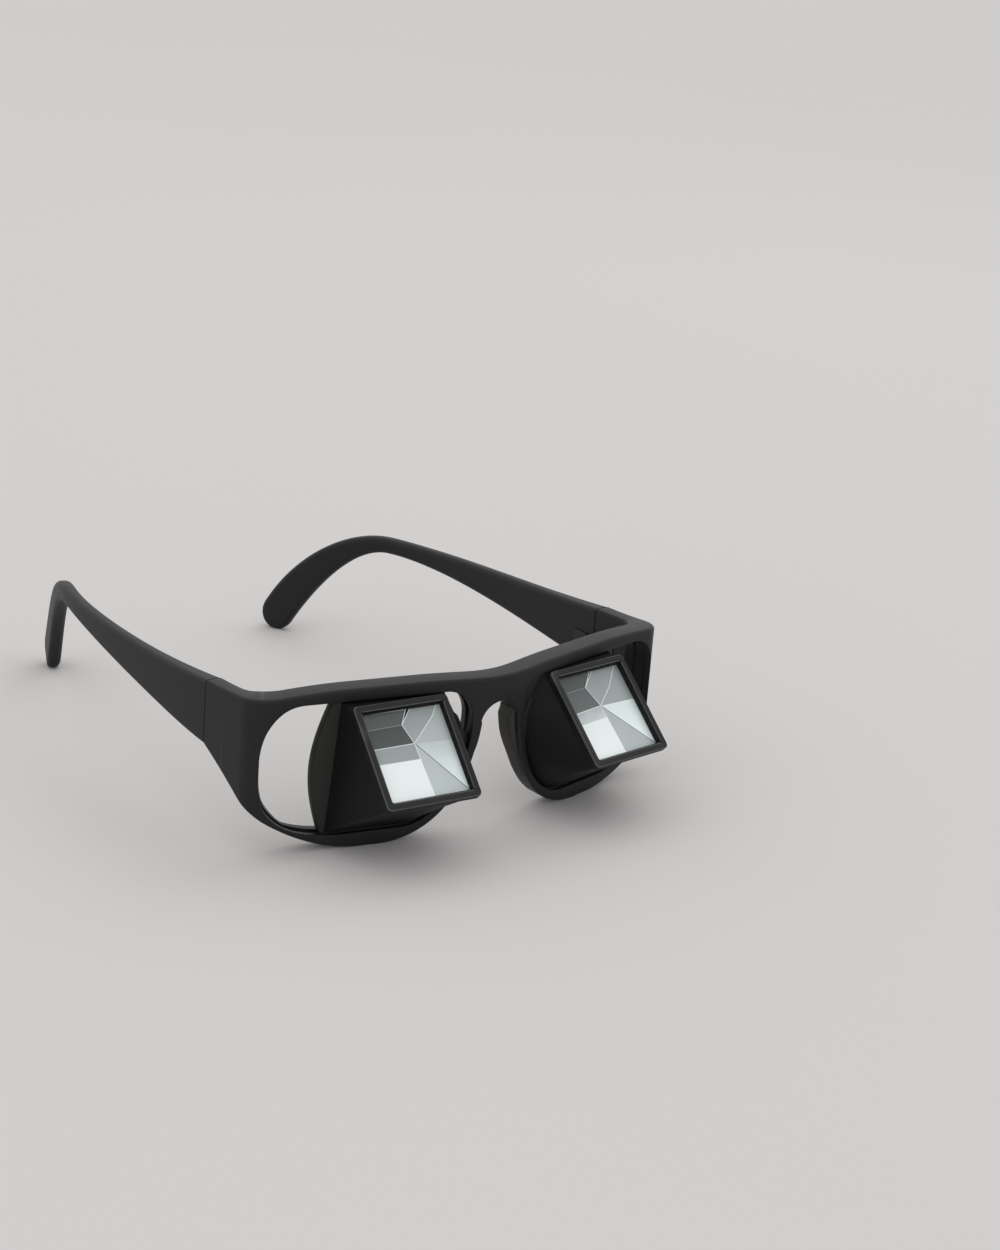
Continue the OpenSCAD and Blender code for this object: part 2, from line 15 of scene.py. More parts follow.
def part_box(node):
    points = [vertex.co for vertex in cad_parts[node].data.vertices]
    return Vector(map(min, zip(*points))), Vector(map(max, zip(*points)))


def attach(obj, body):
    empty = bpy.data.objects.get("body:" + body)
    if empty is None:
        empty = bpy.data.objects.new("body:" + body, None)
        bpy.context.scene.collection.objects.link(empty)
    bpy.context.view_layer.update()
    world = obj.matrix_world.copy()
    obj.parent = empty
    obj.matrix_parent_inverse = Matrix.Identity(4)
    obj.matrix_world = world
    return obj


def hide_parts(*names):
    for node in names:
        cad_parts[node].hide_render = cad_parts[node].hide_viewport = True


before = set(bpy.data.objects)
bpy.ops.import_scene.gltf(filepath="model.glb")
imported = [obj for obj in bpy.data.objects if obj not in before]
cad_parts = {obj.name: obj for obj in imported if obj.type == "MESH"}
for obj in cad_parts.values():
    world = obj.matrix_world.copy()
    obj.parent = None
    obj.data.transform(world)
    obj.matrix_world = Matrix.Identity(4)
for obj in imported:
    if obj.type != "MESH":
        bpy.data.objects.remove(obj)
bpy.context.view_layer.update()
scene = bpy.context.scene
MM = 0.001
SIDES = ((1, "left"), (-1, "right"))           # the wearer's own; left is towards +X
BRIDGE_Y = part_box("front_frame")[0].y / MM     # the front of the bridge; the sizes start there


def put(name, data, **settings):
    """A new object in the scene, at the origin, with these settings of its data."""
    for key, value in settings.items():
        setattr(data, key, value)
    thing = bpy.data.objects.new(name, data)
    scene.collection.objects.link(thing)
    return thing


print("nodes", len(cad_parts), "bridge at y =", round(BRIDGE_Y, 2), "mm")

# %% [markdown]
# ## The camera
# The photograph's camera was worked out from the outlines of the rims, hoods and temples. It
# stands to the wearer's right and a little above, and it is tilted by a few degrees. It gets
# three turns in a row, and stands back from the glasses along its own directions.

# %% Camera
CAMERA_TURNS = ((-40.07, "Z"), (90 - 18.29, "X"), (4.47, "Z"))
CAMERA_PLACE = Vector((8.06, 52.72, 690.82))     # to its right, up and back
FIT_BRIDGE_Y = -9.7              # where the bridge stood in the frame of that fit

turn = Matrix.Identity(3)
for angle, axis in CAMERA_TURNS:
    turn = turn @ Matrix.Rotation(radians(angle), 3, axis)
place = turn @ CAMERA_PLACE
place.y += BRIDGE_Y - FIT_BRIDGE_Y
camera = put("camera", bpy.data.cameras.new("camera"), lens=72, sensor_width=36, clip_end=50)
camera.matrix_world = Matrix.Translation(place * MM) @ turn.to_4x4()
scene.camera = camera
print("camera at", [round(c, 3) for c in camera.location], "m")

# %% [markdown]
# ## The curve of the front
# Seen from above, the front of the glasses is one curve: an arc over the bridge, a straight
# panel that carries the lens opening, a tight corner and the straight end piece. A place on the
# front is given by s, the way along this curve from the bridge, by d, the depth behind the
# front face, and by z, the height. Flat shapes are modelled in s, d and z, and bent last.

# %% Plan curve
HALF_WIDTH, FRONT_HEIGHT, FRONT_DEPTH, SIDE_DEPTH = 70.2, 45, 7, 5
WRAP = radians(12.2)
BRIDGE_RADIUS, CORNER_RADIUS, INNER_RADIUS, END_PIECE = 46, 8.4, 9, 16.6
SEAM_DROP, SEAM_HEIGHT, BRIDGE_DIP = 2.6, 18.2, 0.6


def on_arc(centre, radius, turn):
    return centre[0] + radius * sin(turn), centre[1] - radius * cos(turn)


arc_s = BRIDGE_RADIUS * WRAP
arc_centre = (0, BRIDGE_RADIUS)
arc_end = on_arc(arc_centre, BRIDGE_RADIUS, WRAP)
panel_way, panel_back = Vector((cos(WRAP), sin(WRAP))), Vector((-sin(WRAP), cos(WRAP)))
panel_start = Vector(arc_end) - arc_s * panel_way


def on_panel(s, d=0):
    """A point s along the panel's line and d behind it, seen from above."""
    return panel_start + s * panel_way + d * panel_back


panel_x = HALF_WIDTH - CORNER_RADIUS * (1 - sin(WRAP))
panel_s = arc_s + (panel_x - arc_end[0]) / cos(WRAP)
corner_centre = (HALF_WIDTH - CORNER_RADIUS, on_panel(panel_s, CORNER_RADIUS).y)
corner_s = panel_s + CORNER_RADIUS * (pi / 2 - WRAP)
seam_s = corner_s + END_PIECE
seam_y = corner_centre[1] + END_PIECE
seam_top = FRONT_HEIGHT - SEAM_DROP
seam_bottom = seam_top - SEAM_HEIGHT


def smooth(t):
    """0 below 0, 1 above 1, and an even rise between them."""
    t = max(0.0, min(1.0, t))
    return t * t * (3 - 2 * t)


def mix(a, b, t):
    return a + (b - a) * t


def steps(count, first=0):
    """Even steps from 0 to 1; first=1 leaves the 0 out."""
    return [i / count for i in range(first, count + 1)]


def turn_at(s):
    """How far the front has turned backwards at s."""
    if s < arc_s:
        return s / BRIDGE_RADIUS
    if s < panel_s:
        return WRAP
    return min(pi / 2, WRAP + (s - panel_s) / CORNER_RADIUS)


def face_at(s):
    """Where the front face is at s, seen from above."""
    if s < arc_s:
        return on_arc(arc_centre, BRIDGE_RADIUS, turn_at(s))
    if s < panel_s:
        return on_panel(s)
    if s < corner_s:
        return on_arc(corner_centre, CORNER_RADIUS, turn_at(s))
    return HALF_WIDTH, corner_centre[1] + s - corner_s


rear_start = on_panel(0, FRONT_DEPTH)
inner_x = HALF_WIDTH - SIDE_DEPTH - INNER_RADIUS
inner_rise = ((inner_x - rear_start.x) * panel_way.y + INNER_RADIUS) / panel_way.x
inner_centre = Vector((inner_x, rear_start.y + inner_rise))
inner_from = (inner_centre - rear_start).dot(panel_way)
inner_to = corner_s + inner_centre.y - corner_centre[1]


def rear_at(s):
    """The rear face of the front runs parallel to the face, with a wider corner of its own."""
    x, y = face_at(s)
    if s < inner_from:
        return on_arc((x, y), -FRONT_DEPTH, turn_at(s))
    if s > inner_to:
        return HALF_WIDTH - SIDE_DEPTH, y
    turn = mix(WRAP, pi / 2, (s - inner_from) / (inner_to - inner_from))
    return on_arc(inner_centre, INNER_RADIUS, turn)


def bent(s, d, z):
    """The point at s along the front, z high, and d of the way from its face to its rear."""
    (x0, y0), (x1, y1) = face_at(abs(s)), rear_at(abs(s))
    t = d / FRONT_DEPTH
    return Vector(((-1 if s < 0 else 1) * mix(x0, x1, t), mix(y0, y1, t), z))


print("seam at s =", round(seam_s, 1), "mm, top at z =", round(seam_top, 1))

# %% [markdown]
# The front's outer edge, the lens opening and the nose gap are outlines in s and z. The corners
# of the opening are quarter ellipses, as in the CAD model. The two at the temple are a little
# fuller than an ellipse, so that they run into the side without a visible start.

# %% Outlines
RIM_LOW, FOOT, RIM_THICK, BROW = 37, 5, 4.2, 3.4
OPEN_NASAL, OPEN_TEMPLE = 9.2, 69.8
ARCH_RADIUS, BRIDGE_HEIGHT = 6.2, 7.5
TEMPLE_CORNERS, NASAL_CORNERS = ((26, 16), (12.5, 17.4)), ((19.5, 28.5), (8, 8.9))
TEMPLE_POWER = 2.35                             # an ellipse has 2
DIP_END, DROP_START = 24, 45                    # of the top edge, along s
FLANK_OUT, FLANK_IN, FLANK_UP = 16.5, 2.4, 12.5      # how the curve beside the nose is pulled
LOWER_OUT, LOWER_IN, LOWER_DOWN = 19.5, 1.9, 10.6    # and the one below the temple corner
LINE_STEPS, ARCH_STEPS = 80, 24
arch_top = FRONT_HEIGHT - BRIDGE_DIP - BRIDGE_HEIGHT
arch_z = arch_top - ARCH_RADIUS
foot_in, foot_out = RIM_LOW - FOOT / 2, RIM_LOW + FOOT / 2
opening_low, opening_high = RIM_THICK, FRONT_HEIGHT - BROW


def top_at(s):
    return (FRONT_HEIGHT - BRIDGE_DIP * (1 - smooth(abs(s) / DIP_END))
            - SEAM_DROP * smooth((abs(s) - DROP_START) / (seam_s - DROP_START)))


def corner_rise(gone, run, rise, power):
    """How far a corner has risen where gone is left before its end."""
    if gone >= run:
        return 0
    return rise * (1 - max(0.0, 1 - min(1.0, 1 - gone / run) ** power) ** (1 / power))


def opening_at(s, above, grow=0.0):
    """The height of the opening's lower or upper edge at s, made larger by grow."""
    rise = 0
    for gone, corners, power in ((OPEN_TEMPLE - s, TEMPLE_CORNERS, TEMPLE_POWER),
                                 (s - OPEN_NASAL, NASAL_CORNERS, 2)):
        rise += corner_rise(gone + grow, *(size + grow for size in corners[above]), power)
    return opening_high + grow - rise if above else opening_low - grow + rise


def even(points, count):
    """count + 1 points, evenly spaced along a line of points."""
    ways = [0.0]
    for a, b in zip(points, points[1:]):
        ways.append(ways[-1] + dist(a, b))
    out, k = [], 0
    for i in range(count + 1):
        way = ways[-1] * i / count
        while k < len(ways) - 2 and ways[k + 1] < way:
            k += 1
        t = (way - ways[k]) / (ways[k + 1] - ways[k] or 1.0)
        out.append(tuple(mix(a, b, t) for a, b in zip(points[k], points[k + 1])))
    return out


def nearest(points, target):
    return min(range(len(points)), key=lambda i: dist(points[i], target))


def pulls(t):
    """How much each of a curve's four points counts, t of the way along it."""
    return (1 - t) ** 3, 3 * t * (1 - t) ** 2, 3 * t * t * (1 - t), t ** 3


def curve(points):
    """The curve from the first point to the last that the two between them pull."""
    return [tuple(sum(w * p[c] for w, p in zip(pulls(t), points)) for c in (0, 1))
            for t in steps(LINE_STEPS)]


nose_side = curve(((foot_in, 0), (foot_in - FLANK_OUT, 0), (ARCH_RADIUS + FLANK_IN, FLANK_UP),
                   (ARCH_RADIUS, arch_z)))
lower_edge = curve(((foot_out, 0), (foot_out + LOWER_OUT, 0),
                    (OPEN_TEMPLE + LOWER_IN, seam_bottom - LOWER_DOWN), (seam_s, seam_bottom)))
arch = [(ARCH_RADIUS * cos(a), arch_z + ARCH_RADIUS * sin(a))
        for a in (pi / 2 * t for t in steps(ARCH_STEPS))]
print("opening", round(OPEN_TEMPLE - OPEN_NASAL), "by", round(opening_high - opening_low), "mm")

# %% [markdown]
# ## Shader maths
# A material's maths reads best as Python. The small class below wraps a socket, and its
# operators add the Math nodes. One method adds any other node.

# %% Socket class
class Sock:
    def __init__(self, tree, socket):
        self.tree, self.socket = tree, socket

    def node(self, kind, out=0, settings=None, **inputs):
        """Adds a node with these settings and inputs, and returns its output."""
        new = self.tree.nodes.new(kind)
        for key, value in (settings or {}).items():
            setattr(new, key, value)
        fill(new, **inputs)
        return Sock(self.tree, new.outputs[out])

    def maths(self, operation, a, b):
        return self.node("ShaderNodeMath", settings={"operation": operation}, i0=a, i1=b)

    def __add__(self, other): return self.maths("ADD", self, other)
    def __radd__(self, other): return self.maths("ADD", other, self)
    def __sub__(self, other): return self.maths("SUBTRACT", self, other)
    def __rsub__(self, other): return self.maths("SUBTRACT", other, self)
    def __mul__(self, other): return self.maths("MULTIPLY", self, other)
    def __rmul__(self, other): return self.maths("MULTIPLY", other, self)


def fill(node, **inputs):
    """Sets or links a node's inputs. Underscores stand for spaces, and i0 for the first input."""
    for key, value in inputs.items():
        numbered = key[0] == "i" and key[1:].isdigit()
        socket = node.inputs[int(key[1:]) if numbered else key.replace("_", " ")]
        if isinstance(value, Sock):
            value.tree.links.new(value.socket, socket)
        else:
            socket.default_value = value


def new_material(name):
    """A material with its Principled shader, and a Sock that reads Object coordinates."""
    material = bpy.data.materials.new(name)
    material.use_nodes = True
    tree = material.node_tree
    coords = tree.nodes.new("ShaderNodeTexCoord")
    return material, tree.nodes["Principled BSDF"], Sock(tree, coords.outputs["Object"])


def noise(coords, scale, detail, roughness=0.5):
    return coords.node("ShaderNodeTexNoise", Vector=coords, Scale=scale, Detail=detail,
                       Roughness=roughness)


def blended(factor, a, b):
    """Colour a where the factor is 0 and colour b where it is 1."""
    return factor.node("ShaderNodeMix", out=2, settings={"data_type": "RGBA"},
                       i0=factor, i6=a, i7=b)


def paint(colour, share=1.0):
    """A colour for a socket, at a share of its brightness."""
    return (*(c * share for c in colour), 1)


print("shader helpers ready")

# %% [markdown]
# ## Plastics, rubber, steel
# The frame is a matt black moulding. Its surface has a fine even grain from the mould and a little
# variation in gloss. Its convex edges are a little glossier, and a painted highlight lightens their
# colour. The noise textures are scaled in metres, so a grain of a third of a millimetre has a
# scale of about three thousand.

# %% Moulded plastics
def moulded(name, colour, edge_highlight_grey, roughness, grain, specular=0.26):
    """Black moulded plastic: colour is a linear grey, the second grey a painted highlight on convex
    edges; grain is the bump's depth in mm.
    """
    material, shader, coords = new_material(name)
    cloud, fine = noise(coords, 90.0, 4.0, 0.6), noise(coords, 2600.0, 3.0, 0.55)
    # Pointiness finds the convex edges: their colour gets a painted highlight, and their roughness
    # drops a little.
    edge = coords.node("ShaderNodeNewGeometry", out=7)       # Pointiness
    painted_edge_highlight = coords.node("ShaderNodeMapRange", Value=edge, From_Min=0.53, From_Max=0.64)
    tone = coords.node("ShaderNodeMapRange", Value=cloud + fine * 0.25, From_Min=0.35, From_Max=0.9)
    body = blended(tone, paint(colour, 0.88), paint(colour, 1.12))
    fill(shader, Base_Color=blended(painted_edge_highlight * 0.6, body, paint(edge_highlight_grey)), Specular_IOR_Level=specular,
         Roughness=roughness + cloud * 0.1 - painted_edge_highlight * 0.1,
         Normal=coords.node("ShaderNodeBump", Strength=0.6, Distance=grain * MM, Height=fine))
    return material


# The second grey of each plastic and rubber is the painted highlight on its convex edges.
frame_plastic = moulded("frame_plastic", (0.0125, 0.0125, 0.0132), (0.0155, 0.0155, 0.0164),
                        0.45, 0.05, 0.22)
hood_plastic = moulded("hood_plastic", (0.007, 0.007, 0.007), (0.026, 0.026, 0.027),
                       0.52, 0.05, 0.15)
# The bezel is part of the hood's moulding. Its front gets a lighter copy of the hood plastic as
# painted light, and its edges get a painted highlight.
bezel_front_painted_light = moulded("bezel_front_painted_light", (0.014, 0.014, 0.0145), (0.044, 0.044, 0.045),
                        0.44, 0.03, 0.18)
bezel_edge = moulded("bezel_edge", (0.06, 0.06, 0.061), (0.11, 0.11, 0.112), 0.36, 0.02)
carrier_plastic = moulded("carrier_plastic", (0.017, 0.017, 0.015), (0.035, 0.035, 0.033),
                          0.55, 0.04)
pad_rubber = moulded("pad_rubber", (0.036, 0.035, 0.031), (0.05, 0.049, 0.045), 0.62, 0.03)
gasket_rubber = moulded("gasket_rubber", (0.01, 0.01, 0.01), (0.016, 0.016, 0.016), 0.6, 0.03)
print("plastics: frame, hood, bezel, carrier, pad, gasket")

# %% [markdown]
# The hinge leaves are stamped steel, blackened, with a fine brushed grain. The screws are
# turned, so their grain runs round the axis. The mirror backing is a thin silvered plate.

# %% Metals
def brushed(name, colour, roughness, stretch):
    material, shader, coords = new_material(name)
    lines = noise(coords.node("ShaderNodeMapping", Vector=coords, Scale=stretch), 900.0, 4.0)
    fill(shader, Base_Color=blended(lines, paint(colour, 0.8), paint(colour)), Metallic=1.0,
         Roughness=roughness + lines * 0.2,
         Normal=coords.node("ShaderNodeBump", Strength=0.3, Distance=0.01 * MM, Height=lines))
    return material


hinge_steel = brushed("hinge_steel", (0.05, 0.05, 0.052), 0.32, (1, 0.1, 1))
screw_steel = brushed("screw_steel", (0.075, 0.075, 0.078), 0.28, (1, 1, 0.1))
mirror_silver = brushed("mirror_silver", (0.8, 0.82, 0.83), 0.12, (1, 1, 1))
print("metals: hinge, screw, mirror")

# %% [markdown]
# ## Bringing a piece into the scene
# Every piece is modelled for the wearer's left, in millimetres from the bridge. These helpers
# place it in the model's frame, in metres, and mirror it for the right. A mirrored mesh is
# inside out, so its faces are turned round. A long shape is a skin through rings of points,
# which grows by extruding its last ring.

# %% Piece helpers
def add_piece(bm, name, body, node, materials, side=1, sharp=35, smooth_faces=True):
    """Turns the bmesh into an object in the model's frame. side is -1 for the wearer's right."""
    bmesh.ops.translate(bm, vec=(0, BRIDGE_Y, 0), verts=bm.verts)
    bmesh.ops.scale(bm, vec=(side * MM, MM, MM), verts=bm.verts)
    bmesh.ops.recalc_face_normals(bm, faces=bm.faces)
    mesh = bpy.data.meshes.new(name)
    bm.to_mesh(mesh)
    bm.free()
    for polygon in mesh.polygons:
        polygon.use_smooth = smooth_faces
    mesh.set_sharp_from_angle(angle=radians(sharp))
    for material in materials:
        mesh.materials.append(material)
    piece = put(name, mesh)
    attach(piece, body)
    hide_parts(node)
    print(name, len(mesh.polygons), "faces")


def verts_of(result):
    """The vertices among what a bmesh operator returns."""
    return [g for g in result["geom"] if isinstance(g, bmesh.types.BMVert)]


def pairs_round(ring):
    return zip(ring, ring[1:] + ring[:1])


def start_ring(bm, points):
    """A closed ring of vertices and edges."""
    verts = [bm.verts.new(p) for p in points]
    for pair in pairs_round(verts):
        bm.edges.new(pair)
    return verts


def grow_ring(bm, verts, points):
    """Extrudes a ring and moves each new vertex to its point. Returns the new ring."""
    edges = [bm.edges.get(pair) for pair in pairs_round(verts)]
    new = set(verts_of(bmesh.ops.extrude_edge_only(bm, edges=edges)))
    ring = [next(e.other_vert(v) for e in v.link_edges if e.other_vert(v) in new) for v in verts]
    for v, p in zip(ring, points):
        v.co = p
    return ring


def loft(bm, rings, closed=False):
    """A skin through rings of points. Its ends are capped, or joined if it is closed."""
    first = last = start_ring(bm, rings[0])
    for points in rings[1:]:
        last = grow_ring(bm, last, points)
    if closed:
        edges = [bm.edges.get(pair) for ring in (first, last) for pair in pairs_round(ring)]
        bmesh.ops.bridge_loops(bm, edges=edges)
    else:
        bm.faces.new(first)
        bm.faces.new(last)


print("piece helpers ready")

# %% [markdown]
# ## The frame front
# The front is one moulding: two rims, the bridge and the end pieces. It starts flat, as one
# ring of faces round the lens opening, out to the front's outline, which is mirrored for the
# other half. It then gets its depth, a groove inside each rim and rounded edges, and is cut
# across many times and bent along the plan curve.

# %% Flat half of the front
TOP_STEPS, OPENING_STEPS = 200, 240
STATIONS = (64, 14, 54, 44, 12, 8)       # on the top, seam, lower edge, flank, arch and middle
outer_parts = [[(s, top_at(s)) for s in (seam_s * t for t in steps(TOP_STEPS))],
               [(seam_s, seam_top), (seam_s, seam_bottom)], lower_edge[::-1] + [(RIM_LOW, 0)],
               [(RIM_LOW, 0)] + nose_side, arch, [(0, arch_top), (0, top_at(0))]]
opening_s = [mix(OPEN_NASAL, OPEN_TEMPLE, (1 - cos(pi * t)) / 2)
             for t in steps(OPENING_STEPS)]
inner = [(s, opening_at(s, 1)) for s in opening_s]
inner += [(s, opening_at(s, 0)) for s in opening_s[-2::-1]]
# Where the parts of the outline start on the opening.
inner_starts = [nearest(inner, p) for p in (
    (OPEN_NASAL + 4, opening_high), (OPEN_TEMPLE - 2, opening_high - 2.5),
    (OPEN_TEMPLE, 18), (RIM_LOW, opening_low), (OPEN_NASAL, 27), (OPEN_NASAL, 33))]
outer_ring, inner_ring = [], []
for k, count in enumerate(STATIONS):
    a, b = inner_starts[k], inner_starts[(k + 1) % len(STATIONS)]
    inner_part = inner[a:b + 1] if a < b else inner[a:] + inner[:b + 1]
    outer_ring += even(outer_parts[k], count)[:-1]
    inner_ring += even(inner_part, count)[:-1]
print("front ring of", len(outer_ring), "stations")

# %% Solid front
MERGE = 0.001
BROW_STATION = 25
front = bmesh.new()
ring = start_ring(front, [(s, 0, z) for s, z in inner_ring])
grown = grow_ring(front, ring, [(s, 0, z) for s, z in outer_ring])
# Three of the edges across the ring stay, where they stand square to it. Without the others, the
# faces are large flat ones, and their rims can be rounded evenly.
kept = {BROW_STATION, sum(STATIONS[:3]), sum(STATIONS[:4])}
spokes = [front.edges.get(pair) for i, pair in enumerate(zip(ring, grown)) if i not in kept]
bmesh.ops.dissolve_edges(front, edges=spokes, use_verts=False, use_face_split=False)
bmesh.ops.mirror(front, geom=front.verts[:] + front.edges[:] + front.faces[:], axis="X",
                 merge_dist=MERGE)
bmesh.ops.remove_doubles(front, verts=front.verts, dist=MERGE)
bmesh.ops.recalc_face_normals(front, faces=front.faces)
thick = bmesh.ops.extrude_face_region(front, geom=front.faces[:])
bmesh.ops.translate(front, vec=(0, FRONT_DEPTH, 0), verts=verts_of(thick))
bmesh.ops.recalc_face_normals(front, faces=front.faces)
print("solid front", len(front.faces), "faces")

# %% [markdown]
# The rim's groove holds the prism carrier, and it shows as a double line on the temple side.
# Its strip of faces is cut out of the opening's wall by two planes, then pushed outwards.

# %% Groove round the inside of the rims
GROOVE_FROM, GROOVE_TO, GROOVE_DEEP = 1.4, 4.6, 0.8
SLACK = 0.1                    # for faces that stand near a line or are nearly upright


def opening_walls(bm):
    """The faces of the walls of both lens openings: upright to the front, not on the outline."""
    found = []
    for f in bm.faces:
        c = f.calc_center_median()
        s = min(max(abs(c.x), OPEN_NASAL), OPEN_TEMPLE)
        if (abs(f.normal.y) < SLACK and abs(abs(c.x) - s) <= SLACK
                and opening_at(s, 0) - 2 * SLACK <= c.z <= opening_at(s, 1) + 2 * SLACK):
            found.append(f)
    return found


def spot(v):
    return round(v.co.x, 4), round(v.co.z, 4)


for d in (GROOVE_FROM, GROOVE_TO):
    walls = opening_walls(front)
    geom = walls + list({e for f in walls for e in f.edges} | {v for f in walls for v in f.verts})
    bmesh.ops.bisect_plane(front, geom=geom, plane_co=(0, d, 0), plane_no=(0, 1, 0))
strip = [f for f in opening_walls(front) if GROOVE_FROM < f.calc_center_median().y < GROOVE_TO]
normals = {}
for f in strip:
    for v in f.verts:
        normals[spot(v)] = normals.get(spot(v), Vector()) + f.normal
pushed = bmesh.ops.extrude_face_region(front, geom=strip)
bmesh.ops.delete(front, geom=strip, context="FACES_ONLY")
for v in verts_of(pushed):
    v.co -= normals[spot(v)].normalized() * GROOVE_DEEP
print("groove strip of", len(strip), "faces")

# %% Round the edges of the front
TOP_ROUND, EDGE_ROUND, OPENING_ROUND = 1.5, 1.1, 0.7
LEVEL, SHARP_TURN = 1e-4, 1.2       # the slack of a level edge; the least turn that is rounded


def rounding(e, opening_faces):
    """The radius for an edge between a flat face and a wall, by where it lies; 0 for others."""
    y0, y1 = (v.co.y for v in e.verts)
    if (len(e.link_faces) != 2 or abs(y0 - y1) >= LEVEL or LEVEL < y0 < FRONT_DEPTH - LEVEL
            or e.calc_face_angle() < SHARP_TURN):
        return 0
    wall = min(e.link_faces, key=lambda f: abs(f.normal.y))
    middle = (e.verts[0].co + e.verts[1].co) / 2
    if abs(wall.normal.x) > 0.99 and abs(middle.x) > seam_s - 0.01:
        return 0                      # the seam stays sharp
    if wall in opening_faces:
        return OPENING_ROUND
    on_top = wall.normal.z > 0.5 and abs(middle.z - top_at(middle.x)) < 0.05
    return TOP_ROUND if on_top else EDGE_ROUND


front.normal_update()
walls = set(opening_walls(front))
roundings = [(e, rounding(e, walls)) for e in front.edges]
for radius in (TOP_ROUND, EDGE_ROUND, OPENING_ROUND):
    edges = [e for e, found in roundings if found == radius and e.is_valid]
    bmesh.ops.bevel(front, geom=edges + list({v for e in edges for v in e.verts}), offset=radius,
                    offset_type="OFFSET", segments=5, profile=0.5, affect="EDGES",
                    clamp_overlap=True, material=-1)
bmesh.ops.remove_doubles(front, verts=front.verts, dist=MERGE / 2)
print("rounded", sum(found > 0 for _, found in roundings), "edges")

# %% Bend the front
WALL_NEAR, WALL_FADE = 0.9, 2
FLARE, FLARE_FROM, FLARE_TO = 1.8, 61, 71      # at the temple side of the opening, along s
nose_line = nose_side + arch


def nose_wall(s, z):
    """1 on the walls of the nose gap, which run straight back, and 0 three millimetres off."""
    near = min(dist((abs(s), z), q) for q in nose_line)
    return 1 - smooth((near - WALL_NEAR) / WALL_FADE)


def flare(s, d, z):
    """The rear of the lens opening stands further out at the temple, above its lower corner."""
    return (FLARE * d / FRONT_DEPTH * smooth((abs(s) - FLARE_FROM) / 8)
            * (1 - smooth((abs(s) - FLARE_TO) / 7)) * smooth((z - 6) / 8))


cuts = [mix(a, b, t) for a, b, count in ((0, arc_s, 8), (arc_s, inner_from, 6),
                                         (inner_from, inner_to, 30)) for t in steps(count, 1)]
for s in cuts:
    for side, _ in SIDES[::-1]:
        geom = front.verts[:] + front.edges[:] + front.faces[:]
        bmesh.ops.bisect_plane(front, geom=geom, dist=1e-5, plane_co=(side * s, 0, 0),
                               plane_no=(1, 0, 0))
for v in front.verts:
    s, d, z = v.co
    v.co = bent(s + copysign(flare(s, d, z), s), d, z)
    if abs(s) < foot_in + 1:
        v.co.x = mix(v.co.x, s, nose_wall(s, z))
add_piece(front, "front_frame_moulding", "front", "front_frame",
          [frame_plastic])

# %% [markdown]
# ## The nose pads
# A softer pad lies on each flank of the nose gap. It is thickest below the arch, where it stands
# out towards the nose, and it thins out downwards. Rounded sections across the flank, each as
# thick as the pad is there, are joined into one skin.

# %% Nose pads
PAD_FRONT, PAD_REACH, PAD_TOP, PAD_LOW, PAD_THICK, PAD_SUNK = 1.2, 0.8, 33.8, 12, 1.7, 0.35
PAD_START, PAD_THIN_FROM, PAD_THIN_OVER, PAD_LOST, PAD_LEAST = 3, 27, 11, 0.8, 0.02
PAD_STEPS, PAD_SQUARE, PAD_CROWN = 20, 0.35, 0.7         # a section's points and its rounding


def pad_thickness(z):
    thinned = 1 - PAD_LOST * smooth((PAD_THIN_FROM - z) / PAD_THIN_OVER)
    return PAD_THICK * smooth((PAD_TOP - z) / PAD_START) * thinned + PAD_LEAST


def pad_section(p, q):
    """A section of the pad at p on the flank, which runs on to q."""
    along = Vector((q[0] - p[0], q[1] - p[1])).normalized()
    out = Vector((-along.y, along.x))
    thick = pad_thickness(p[1])
    y0, y1 = face_at(p[0])[1] + PAD_FRONT, FRONT_DEPTH + PAD_REACH
    section = []
    for a in (pi * t for t in steps(PAD_STEPS)):
        forward = copysign(abs(cos(a)) ** PAD_SQUARE, cos(a))
        rise = sin(a) ** PAD_CROWN
        x, z = Vector(p) + out * (rise * (thick + PAD_SUNK) - PAD_SUNK)
        section.append(Vector((x, mix(y0, y1, (1 - forward) / 2), z)))
    return section


flank = even([p for p in nose_side + arch[1:] if PAD_LOW <= p[1] <= PAD_TOP], 44)
for side, name in SIDES:
    bm = bmesh.new()
    loft(bm, [pad_section(p, q) for p, q in zip(flank, flank[1:])])
    add_piece(bm, name + "_nose_cushion", "front", name + "_nose_pad",
              [pad_rubber], side, sharp=50)

# %% [markdown]
# ## The temples
# A temple is a flat bar that narrows behind the seam, runs back to the ear bend, and hooks down
# to a paddle-shaped tip. Its line is two joined curves. A rounded section is carried along the
# line, and the last sections close the tip in half a circle.

# %% Temple line
EAR_BACK, HOOK_BACK, EAR_IN, TIP_IN = 93, 37.8, 9.4, 25.6
EAR_HEIGHT, TIP_HEIGHT, EAR_Z, TEMPLE_THICK, SEAM_GAP = 5, 11.2, 36.7, 4.2, 0.3
temple_x = HALF_WIDTH - SIDE_DEPTH / 2
arm_start = Vector((temple_x, seam_y + SEAM_GAP, (seam_top + seam_bottom) / 2))
ear = Vector((temple_x - EAR_IN, seam_y + EAR_BACK, EAR_Z))
ear_way = Vector((-0.33, 1, -0.05))
tip = Vector((temple_x - TIP_IN, ear.y + HOOK_BACK, TIP_HEIGHT * 0.45))
tip_way = Vector((-0.41, 1, -1.8))
# The points between the ends of each line pull it straight back, and along the two ways.
arm_line = (arm_start, arm_start + Vector((0, 30, 0)), ear - 24 * ear_way, ear)
hook_line = (ear, ear + 12.5 * ear_way, tip - 11 * tip_way, tip)


def on_line(line, t):
    return sum((w * p for w, p in zip(pulls(t), line)), Vector())


def way_on(line, t):
    return (on_line(line, min(1, t + 0.01)) - on_line(line, max(0, t - 0.01))).normalized()


